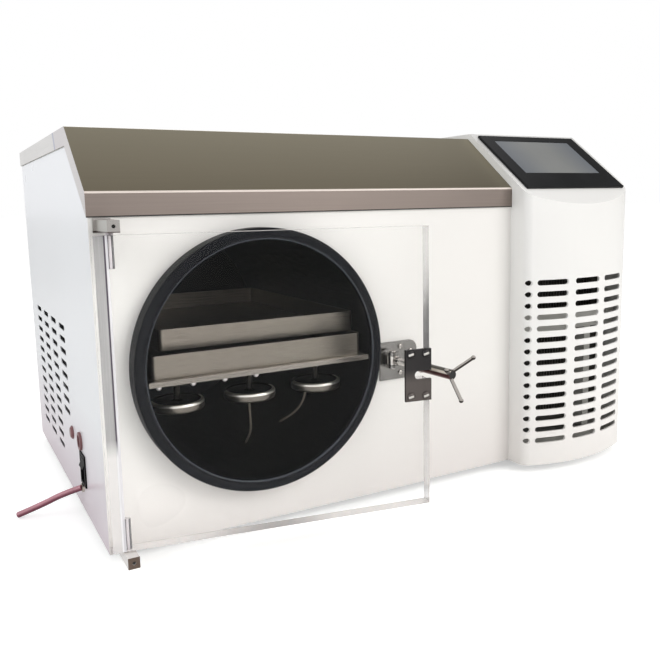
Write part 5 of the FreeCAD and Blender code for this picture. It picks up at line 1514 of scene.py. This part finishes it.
@dataclass
class ShelfStack:
    """The shelf on its rails with two trays on it and three disc heaters under it.

    A heater's outline is pairs of radius and rise in millimetres, from the middle of its
    underside to its stud. A front nut's place is from the cabinet's left side.
    """

    bench: Bench
    disc: tuple[Point, ...] = (
        (0.0, 1.0), (26.0, 1.0), (28.0, 0.2), (30.4, 0.0), (32.0, 0.9), (32.8, 2.6), (33.0, 5.0),
        (33.0, 8.2), (32.7, 10.2), (31.8, 11.5), (30.4, 12.0), (28.8, 11.6), (27.6, 10.6),
        (10.0, 10.3), (8.0, 11.0), (5.0, 11.6), (4.0, 12.6))
    stud_radius: float = 4.0 * MM
    rim_rise: float = 9.0 * MM
    rim_radius: float = 29.0 * MM
    rim_highlight_back: float = 6.0 * MM
    nut_radius: float = 7.5 * MM
    nut_height: float = 6.5 * MM
    dome: tuple[Point, ...] = ((0.0, -4.2), (1.6, -3.9), (2.9, -2.7), (3.4, -1.2), (3.4, 0.0),
                               (0.0, 0.0))
    dome_inset: float = 4.6 * MM
    pan_inset: float = 1.4 * MM
    front_nuts: tuple[float, ...] = (62.2 * MM, 102.4 * MM, 141.0 * MM, 180.6 * MM)

    def build(self) -> None:
        """Make the shelf and all that it carries."""
        self.bench.refine("shelf_plate", MACHINE, "stainless", Paint.SHELF, 0.6 * MM)
        for node in ("shelf_rail_left", "shelf_rail_right"):
            self.bench.dress(node, Paint.SHELF)
        for node in ("tray_lower", "tray_upper"):
            self.bench.refine(node, MACHINE, "stainless", Paint.TRAY, 0.35 * MM, angle=50.0)
        for side in ("left", "middle", "right"):
            self.heater(side)
        self.nuts()
        self.bench.dress("heater_leads", Paint.LEAD)

    def heater(self, side: str) -> None:
        """Turn one heater: a round-edged disc with a dished top, on its stud, with a painted
        highlight on the rim's front and painted shade on the top.

        Args:
            side: Which of the three it is: left, middle or right.
        """
        low, high = self.bench.box(f"disc_heater_{side}")
        centre = ((low.x + high.x) / 2, (low.y + high.y) / 2, low.z)
        profile = [(radius * MM, up * MM) for radius, up in self.disc]
        stud = [(self.stud_radius, high.z - low.z), (0.0, high.z - low.z)]
        shape = Shape().turn(profile + stud, Axis.UP, centre, 72).settle()

        def part(face: bmesh.types.BMFace) -> Finish:
            """Tell the side, the rim's front with its painted highlight, and the top with the stud
            in painted shade apart.

            Args:
                face: The face.

            Returns:
                Its finish.
            """
            at = face.calc_center_median() - Vector(centre)
            if at.z < self.rim_rise:
                return Paint.HEATER
            inside = math.hypot(at.x, at.y) < self.rim_radius
            return Paint.HEATER_TOP_SHADE if inside or at.y > self.rim_highlight_back else Paint.HEATER_RIM_HIGHLIGHT

        self.bench.keep(shape, f"disc_heater_{side}_finished", MACHINE, "stainless",
                        Paint.HEATER, Paint.HEATER_RIM_HIGHLIGHT, Paint.HEATER_TOP_SHADE,
                        replaces=(f"disc_heater_{side}",), part=part)

    def nuts(self) -> None:
        """Add the hexagon nuts on the heaters' studs and the domed ones at the shelf's front."""
        low = self.bench.box("shelf_plate")[0]
        shape = Shape()
        for side in ("left", "middle", "right"):
            seat = self.bench.middle(f"disc_heater_{side}")
            seat.z = low.z
            shape.rod(seat - Z * self.nut_height, seat, self.nut_radius, 6)
        shape.bevel(shape.sharp(40.0), 0.5 * MM, 2)
        left = self.bench.box("base_pan")[0].x - self.pan_inset
        dome = [(radius * MM, rise * MM) for radius, rise in self.dome]
        for across in self.front_nuts:
            shape.turn(dome, Axis.UP, (left + across, low.y + self.dome_inset, low.z), 24)
        shape.settle()
        self.bench.keep(shape, "shelf_nuts", MACHINE, "stainless", Paint.NUT)


# Door and hinges


@dataclass
class Door:
    """The clear door on its hinges, with its latch plate.

    Each band of the hinge side has the place where it ends, from the edge, and its finish; the
    bands paint a rounded edge's look on the flat face: painted shade, a painted dark line and a
    painted glint.
    """

    bench: Bench
    corner: float = 0.9 * MM
    painted_hinge_bands: tuple[tuple[float, Finish], ...] = (
        (2.5 * MM, Paint.ACRYLIC), (12.4 * MM, Paint.PAINTED_ROUND_SIDE), (14.2 * MM, Paint.PAINTED_ROUND_SHADE),
        (16.8 * MM, Paint.PAINTED_ROUND_GLINT))
    bore_reach: float = 40.0 * MM
    bore_area: float = 4e-4
    block_edge: float = 0.5 * MM
    block_shadow_height: float = 2.2 * MM
    block_face: float = 6.0 * MM
    screw_head: float = 5.2 * MM
    screw_slot: float = 3.2 * MM
    slot_floor: float = 0.7 * MM

    def build(self) -> None:
        """Make the door and its hinges."""
        self.panel()
        self.bench.refine("latch_plate", DOOR, "dark_steel", Paint.PLATE, 0.5 * MM)
        self.plate_screws()
        self.top_block()
        self.bottom_block()
        for node in ("hinge_pin_top", "hinge_pin_bottom"):
            self.bench.refine(node, MACHINE, "stainless", Paint.PIN, 0.5 * MM)
        self.bench.refine("hinge_washer", MACHINE, "white_nylon", Paint.NYLON, 0.2 * MM)
        self.bench.dress("hinge_set_screws", Paint.DARK_AND_SHADE)

    def top_block(self) -> None:
        """Finish the top hinge block, with painted light on its left side and a painted shadow at
        its foot.
        """
        block = self.bench.copy("hinge_block_top")
        block.bevel(block.sharp(40.0), self.block_edge, 2)
        foot = self.bench.box("hinge_block_top")[0].z + self.block_shadow_height
        block.slice(Vector((0, 0, foot)), Z)

        def part(face: bmesh.types.BMFace) -> Finish:
            """Tell the block's foot, which takes a painted shadow, its left side, which takes
            painted light, and the rest apart.

            Args:
                face: The face.

            Returns:
                Its finish.
            """
            if face.calc_center_median().z < foot:
                return Paint.HINGE_FOOT_SHADOW
            return Paint.HINGE_SIDE_LIT if face.normal.x < -0.7 else Paint.HINGE_TOP

        self.bench.keep(block, "hinge_block_top_finished", MACHINE, "stainless",
                        Paint.HINGE_TOP, Paint.HINGE_SIDE_LIT, Paint.HINGE_FOOT_SHADOW,
                        replaces=("hinge_block_top",), part=part)

    def bottom_block(self) -> None:
        """Finish the bottom hinge block, bare at its front and painted behind it."""
        block = self.bench.copy("hinge_block_bottom")
        block.bevel(block.sharp(40.0), self.block_edge, 2)
        bare = self.bench.box("hinge_block_bottom")[0].y + self.block_face
        self.bench.keep(block, "hinge_block_bottom_finished", MACHINE, "stainless",
                        Paint.HINGE_LOW, Paint.FRONT, replaces=("hinge_block_bottom",),
                        part=lambda face: Paint.FRONT if face.calc_center_median().y > bare
                        else Paint.HINGE_LOW)

    def facing(self) -> Vector:
        """Return the way that the ajar door's outer face looks."""
        ajar = math.radians(-self.bench.joint("door_hinge")["range_deg"][0])
        return Vector((-math.sin(ajar), -math.cos(ajar), 0))

    def panel(self) -> None:
        """Finish the sheet: clear faces, sawn edges, broken corners in painted shade and a hinge
        side banded with painted light and shade.
        """
        out = self.facing()
        across = Vector((-out.y, out.x, 0))
        shape = self.bench.copy("door_panel")
        shape.bevel(shape.sharp(50.0), self.corner, 1)
        hinge = min(vert.co.dot(across) for vert in shape.mesh.verts)
        for width, _ in self.painted_hinge_bands:
            shape.slice(across * (hinge + width), across)

        def part(face: bmesh.types.BMFace) -> Finish:
            """Tell the sheet's faces, edges, corners and bands apart.

            Args:
                face: The face.

            Returns:
                Its finish.
            """
            lean, inward = face.normal.dot(out), face.calc_center_median().dot(across) - hinge
            if lean > 0.95:
                return next((band for width, band in self.painted_hinge_bands if inward < width),
                            Paint.ACRYLIC)
            if lean < -0.95:
                return Paint.ACRYLIC
            # The broken corners take painted shade.
            if abs(lean) > 0.15:
                return Paint.CORNER_SHADE
            if face.calc_area() < self.bore_area:
                return Paint.BORE if inward < self.bore_reach else Paint.ACRYLIC
            return Paint.LEVEL_EDGE if abs(face.normal.z) > 0.9 else Paint.EDGE

        self.bench.keep(shape, "door_panel_finished", DOOR, "clear_acrylic", Paint.ACRYLIC,
                        Paint.EDGE, Paint.CORNER_SHADE, Paint.LEVEL_EDGE, Paint.PAINTED_ROUND_SIDE,
                        Paint.PAINTED_ROUND_SHADE, Paint.PAINTED_ROUND_GLINT, Paint.BORE,
                        replaces=("door_panel",), part=part)

    def plate_screws(self) -> None:
        """Put the four screws in the latch plate, square to the ajar door."""
        out = self.facing()
        screw = PanScrew(head_radius=self.screw_head, slot_width=self.screw_slot)
        shape = screw.fill(self.bench, "latch_plate_screws", out, (-0.04, -0.02))
        seats = [seat for seat, _ in
                 screw_seats(self.bench, "latch_plate_screws", out, screw.head_height)]

        def part(face: bmesh.types.BMFace) -> Finish:
            """Tell the floors of the driver slots, which carry a painted highlight, from the rest.

            Args:
                face: The face.

            Returns:
                Its finish.
            """
            at = face.calc_center_median()
            seat = min(seats, key=lambda place: (place - at).length)
            sunk = (at - seat).dot(out) < screw.head_height - self.slot_floor
            return Paint.SLOT_HIGHLIGHT if sunk and face.normal.dot(out) > 0.9 else Paint.PLATE

        self.bench.keep(shape, "latch_plate_screws_finished", DOOR, "chrome", Paint.PLATE,
                        Paint.SLOT_HIGHLIGHT, replaces=("latch_plate_screws",), part=part)


# Latch


@dataclass
class Latch:
    """The latch: a bracket, a swing bolt on its pin, and a knob with three arms.

    The bolt's places are measured from its pivot. The outlines of the knob's collar and tip are
    pairs of radius and place in millimetres: the collar's place is from the knob's start and
    the tip's is back from its end.
    """

    bench: Bench
    eye_radius: float = 8.0 * MM
    eye_height: float = 12.6 * MM
    eye_edge: float = 0.6 * MM
    bore: float = 3.05 * MM
    root: float = 4.0 * MM
    core: float = 4.45 * MM
    shank: float = 5.0 * MM
    length: float = 77.5 * MM
    point: float = 0.8 * MM
    pitch: float = 1.5 * MM
    thread_start: float = 16.0 * MM
    thread_stop: float = 3.0 * MM
    knob_start: float = 62.5 * MM
    knob_length: float = 56.0 * MM
    collar: tuple[Point, ...] = ((5.06, 0.0), (6.0, 0.0), (6.4, 0.5), (6.4, 3.4), (5.95, 3.9),
                                 (5.95, 4.7), (6.4, 5.2))
    tip: tuple[Point, ...] = ((6.4, 1.4), (6.1, 0.6), (5.4, 0.0), (0.0, 0.0), (0.0, 5.0),
                              (5.06, 5.0))

    def build(self) -> None:
        """Make all of the latch."""
        self.bench.refine("latch_bracket", MACHINE, "chrome", Paint.BRACKET, 0.5 * MM,
                          segments=2, flat=0.2)
        self.bench.refine("latch_pivot_pin", MACHINE, "chrome", Paint.CHROME, 0.4 * MM)
        screws = PanScrew().fill(self.bench, "latch_bracket_screws", -Y, (0.2, 0.7))
        self.bench.keep(screws, "latch_bracket_screws_finished", MACHINE, "chrome", Paint.CHROME,
                        replaces=("latch_bracket_screws",))
        self.bolt()
        self.bench.refine("thrust_washer", WASHER, "chrome", Paint.CHROME, 0.25 * MM)
        self.knob()

    def stance(self) -> Matrix:
        """Find what carries a bolt that points to the front at the origin to its place.

        Returns:
            The matrix that carries it.
        """
        inward = Vector(self.bench.joint("knob_travel")["axis"])
        angle = math.atan2(-inward.x, inward.y)
        pivot = Vector(self.bench.joint("bolt_swing")["pos_m"])
        return Matrix.Translation(pivot) @ Matrix.Rotation(angle, 4, "Z")

    def bolt(self) -> None:
        """Make the swing bolt: an eye, a plain neck and a threaded shank."""
        half, rim = self.eye_height / 2, self.eye_radius - self.eye_edge
        shape = Shape().turn([(self.bore, -half), (rim, -half),
                              (self.eye_radius, -half + self.eye_edge),
                              (self.eye_radius, half - self.eye_edge), (rim, half),
                              (self.bore, half)], Axis.UP, (0, 0, 0), 48, closed=True)
        neck = -self.thread_start
        shape.turn([(0.0, -self.root), (self.shank, -self.root), (self.shank, neck),
                    (self.core, neck - self.eye_edge), (0.0, neck - self.eye_edge)], Axis.BACK,
                   (0, 0, 0), 32)
        shape.turn([(0.0, neck), (self.core, neck), (self.core, self.point - self.length),
                    (self.core - self.point, -self.length), (0.0, -self.length)], Axis.BACK,
                   (0, 0, 0), 32)
        self.thread(shape, neck)
        shape.settle()
        shape.move(self.stance())
        self.bench.keep(shape, "swing_bolt_finished", BOLT, "chrome", Paint.CHROME,
                        replaces=("swing_bolt",), smooth=30.0)

    def thread(self, shape: Shape, start: float, steps: int = 24) -> None:
        """Wind a screw thread's ridge round the shank.

        Args:
            shape: The bolt.
            start: Where the thread starts along it.
            steps: The number of steps in a turn.
        """
        turns = int((self.length - self.thread_start - self.thread_stop) / self.pitch)
        foot, crest = self.core - 0.15 * MM, self.shank - 0.06 * MM
        outline = [(foot, -0.62), (crest, -0.1), (crest, 0.1), (foot, 0.62)]
        points = [shape.mesh.verts.new((radius, start - self.pitch + along * MM, 0))
                  for radius, along in outline]
        edges = [shape.mesh.edges.new((points[i], points[(i + 1) % 4])) for i in range(4)]
        made = bmesh.ops.spin(shape.mesh, geom=points + edges, angle=2 * math.pi * turns,
                              steps=turns * steps, axis=Y, cent=(0, 0, 0),
                              dvec=(0, -self.pitch / steps, 0))
        last = [item for item in made["geom_last"] if isinstance(item, bmesh.types.BMEdge)]
        bmesh.ops.edgeloop_fill(shape.mesh, edges=edges)
        bmesh.ops.edgeloop_fill(shape.mesh, edges=last)

    def knob(self) -> None:
        """Make the knob: a polished hub with a grooved collar and a painted reflection, its end
        face in painted shade, and its three arms.
        """
        end = self.knob_start + self.knob_length
        profile = [(radius * MM, -self.knob_start - along * MM) for radius, along in self.collar]
        profile += [(radius * MM, back * MM - end) for radius, back in self.tip]
        shape = Shape().turn(profile, Axis.BACK, (0, 0, 0), 48, closed=True).settle()
        shape.move(self.stance())
        out = (self.stance().to_3x3() @ -Y).normalized()
        # The hub's end face takes painted shade.
        self.bench.keep(shape, "knob_hub_finished", KNOB, "chrome", Paint.HUB, Paint.DARK_AND_SHADE,
                        replaces=("knob_hub",), smooth=30.0,
                        part=lambda face: Paint.DARK_AND_SHADE if face.normal.dot(out) > 0.9
                        else Paint.HUB)
        # The arms carry a painted reflection.
        self.bench.dress("knob_arms", Paint.ARM)


# Left side fittings


@dataclass
class SideFittings:
    """The mains inlet with its switch, the pump socket, the fuse and the drain.

    The hose's route is from the drain nipple's end, in millimetres. The blades of the inlet's
    socket lie between two depths and two heights, within a reach of its middle.
    """

    bench: Bench
    blade_depths: Point = (3.5 * MM, 18.6 * MM)
    blade_heights: Point = (5.5 * MM, 21.2 * MM)
    blade_reach: float = 8.2 * MM
    hose_radius: float = 4.0 * MM
    hose_bore: float = 2.4 * MM
    hose_length: float = 100.0 * MM
    route: tuple[Place, ...] = ((0.0, 0.0, 0.0), (-21.0, 13.8, -8.5), (-47.0, 34.3, -26.0),
                                (-74.0, 53.3, -40.4))

    def build(self) -> None:
        """Make all of the fittings."""
        self.inlet()
        self.bench.refine("power_switch_rocker", ROCKER, "black_plastic", Paint.BLACK, 0.5 * MM)
        self.bench.refine("pump_socket", MACHINE, "black_plastic", Paint.MAROON, 0.4 * MM)
        self.bench.refine("fuse_holder", MACHINE, "red_plastic", Paint.MAROON, 0.4 * MM)
        self.bench.refine("drain_nipple", MACHINE, "brass", Paint.NICKEL, 0.3 * MM)

    def inlet(self) -> None:
        """Finish the inlet: black plastic with bright blades in its socket."""
        low, high = self.bench.box("power_inlet")
        middle = (low.y + high.y) / 2

        def part(face: bmesh.types.BMFace) -> Finish:
            """Tell the socket's bright blades from the plastic.

            Args:
                face: The face.

            Returns:
                Its finish.
            """
            at = face.calc_center_median()
            depth, height = at.x - low.x, at.z - low.z
            on_blade = (self.blade_depths[0] < depth < self.blade_depths[1]
                        and self.blade_heights[0] < height < self.blade_heights[1]
                        and abs(at.y - middle) < self.blade_reach and abs(face.normal.x) < 0.99)
            return Paint.NICKEL if on_blade else Paint.BLACK

        shape = self.bench.copy("power_inlet")
        shape.bevel(shape.sharp(50.0), 0.3 * MM, 1)
        self.bench.keep(shape, "power_inlet_finished", MACHINE, "black_plastic", Paint.BLACK,
                        Paint.NICKEL, replaces=("power_inlet",), part=part)

    def hose(self) -> None:
        """Lay the drain hose from the nipple down to the floor, with an open end."""
        low, high = self.bench.box("drain_nipple")
        start = Vector((low.x, (low.y + high.y) / 2, (low.z + high.z) / 2))
        data = bpy.data.curves.new("hose_line", "CURVE")
        data.dimensions = "3D"
        data.resolution_u = 12
        spline = data.splines.new("NURBS")
        spline.points.add(len(self.route) - 1)
        for point, offset in zip(spline.points, self.route):
            point.co = (*(start + Vector(offset) * MM), 1.0)
        spline.order_u = 3
        spline.use_endpoint_u = True
        line = bpy.data.objects.new("hose_line", data)
        bpy.context.scene.collection.objects.link(line)
        graph = bpy.context.evaluated_depsgraph_get()
        read = bpy.data.meshes.new_from_object(line.evaluated_get(graph))
        path = [vert.co.copy() for vert in read.vertices]
        bpy.data.meshes.remove(read)
        bpy.data.objects.remove(line)
        piece = self.bench.keep(self.tube(path), "drain_hose_finished", MACHINE, "hose",
                                Paint.HOSE, replaces=("drain_hose",), smooth=60.0)

    def tube(self, path: Sequence[Vector], segments: int = 24) -> Shape:
        """Make a tube along a path, with a wall and open ends.

        Args:
            path: The points that it runs through.
            segments: The number of steps round.

        Returns:
            The tube.
        """
        shape = Shape()
        walls = []
        for radius, points in ((self.hose_radius, path), (self.hose_bore, path[::-1])):
            rings = []
            for point in points:
                number = path.index(point)
                ahead = path[min(number + 1, len(path) - 1)] - path[max(number - 1, 0)]
                turn = ahead.normalized().to_track_quat("Z", "Y").to_matrix().to_4x4()
                ring = bmesh.ops.create_circle(shape.mesh, segments=segments, radius=radius,
                                               matrix=Matrix.Translation(point) @ turn)["verts"]
                rings.append(list({edge for vert in ring for edge in vert.link_edges}))
            walls.append(rings)
        order = [*walls[0], *walls[1], walls[0][0]]
        for first, second in zip(order, order[1:]):
            bmesh.ops.bridge_loops(shape.mesh, edges=first + second)
        return shape.settle()


# Refrigeration and control


@dataclass
class Machinery:
    """What cools and controls the machine, inside the casing."""

    bench: Bench
    dressed: dict[str, Finish] = field(default_factory=lambda: {
        "compressor": Paint.DARK_AND_SHADE, "condenser_radiator": Paint.FINS, "fan_frame": Paint.BLACK,
        "fan_motor": Paint.ALLOY, "fan_rotor": Paint.BLACK, "control_board": Paint.BOARD})

    def build(self) -> None:
        """Give the inner pieces their finishes."""
        for node, finish in self.dressed.items():
            self.bench.dress(node, finish)


def main() -> None:
    """Build every sub-assembly in order."""
    logging.basicConfig(level=logging.INFO, format="%(name)s: %(message)s")
    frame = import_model()
    studio, bench = Studio(), Bench(frame)
    studio.camera()
    fittings = SideFittings(bench)
    fittings.hose()
    for part in (Casing(bench), Tower(bench), Chamber(bench), ShelfStack(bench), Door(bench),
                 Latch(bench), fittings, Machinery(bench)):
        LOG.info("building %s", type(part).__name__)
        part.build()
    studio.build()


if __name__ == "__main__":
    main()
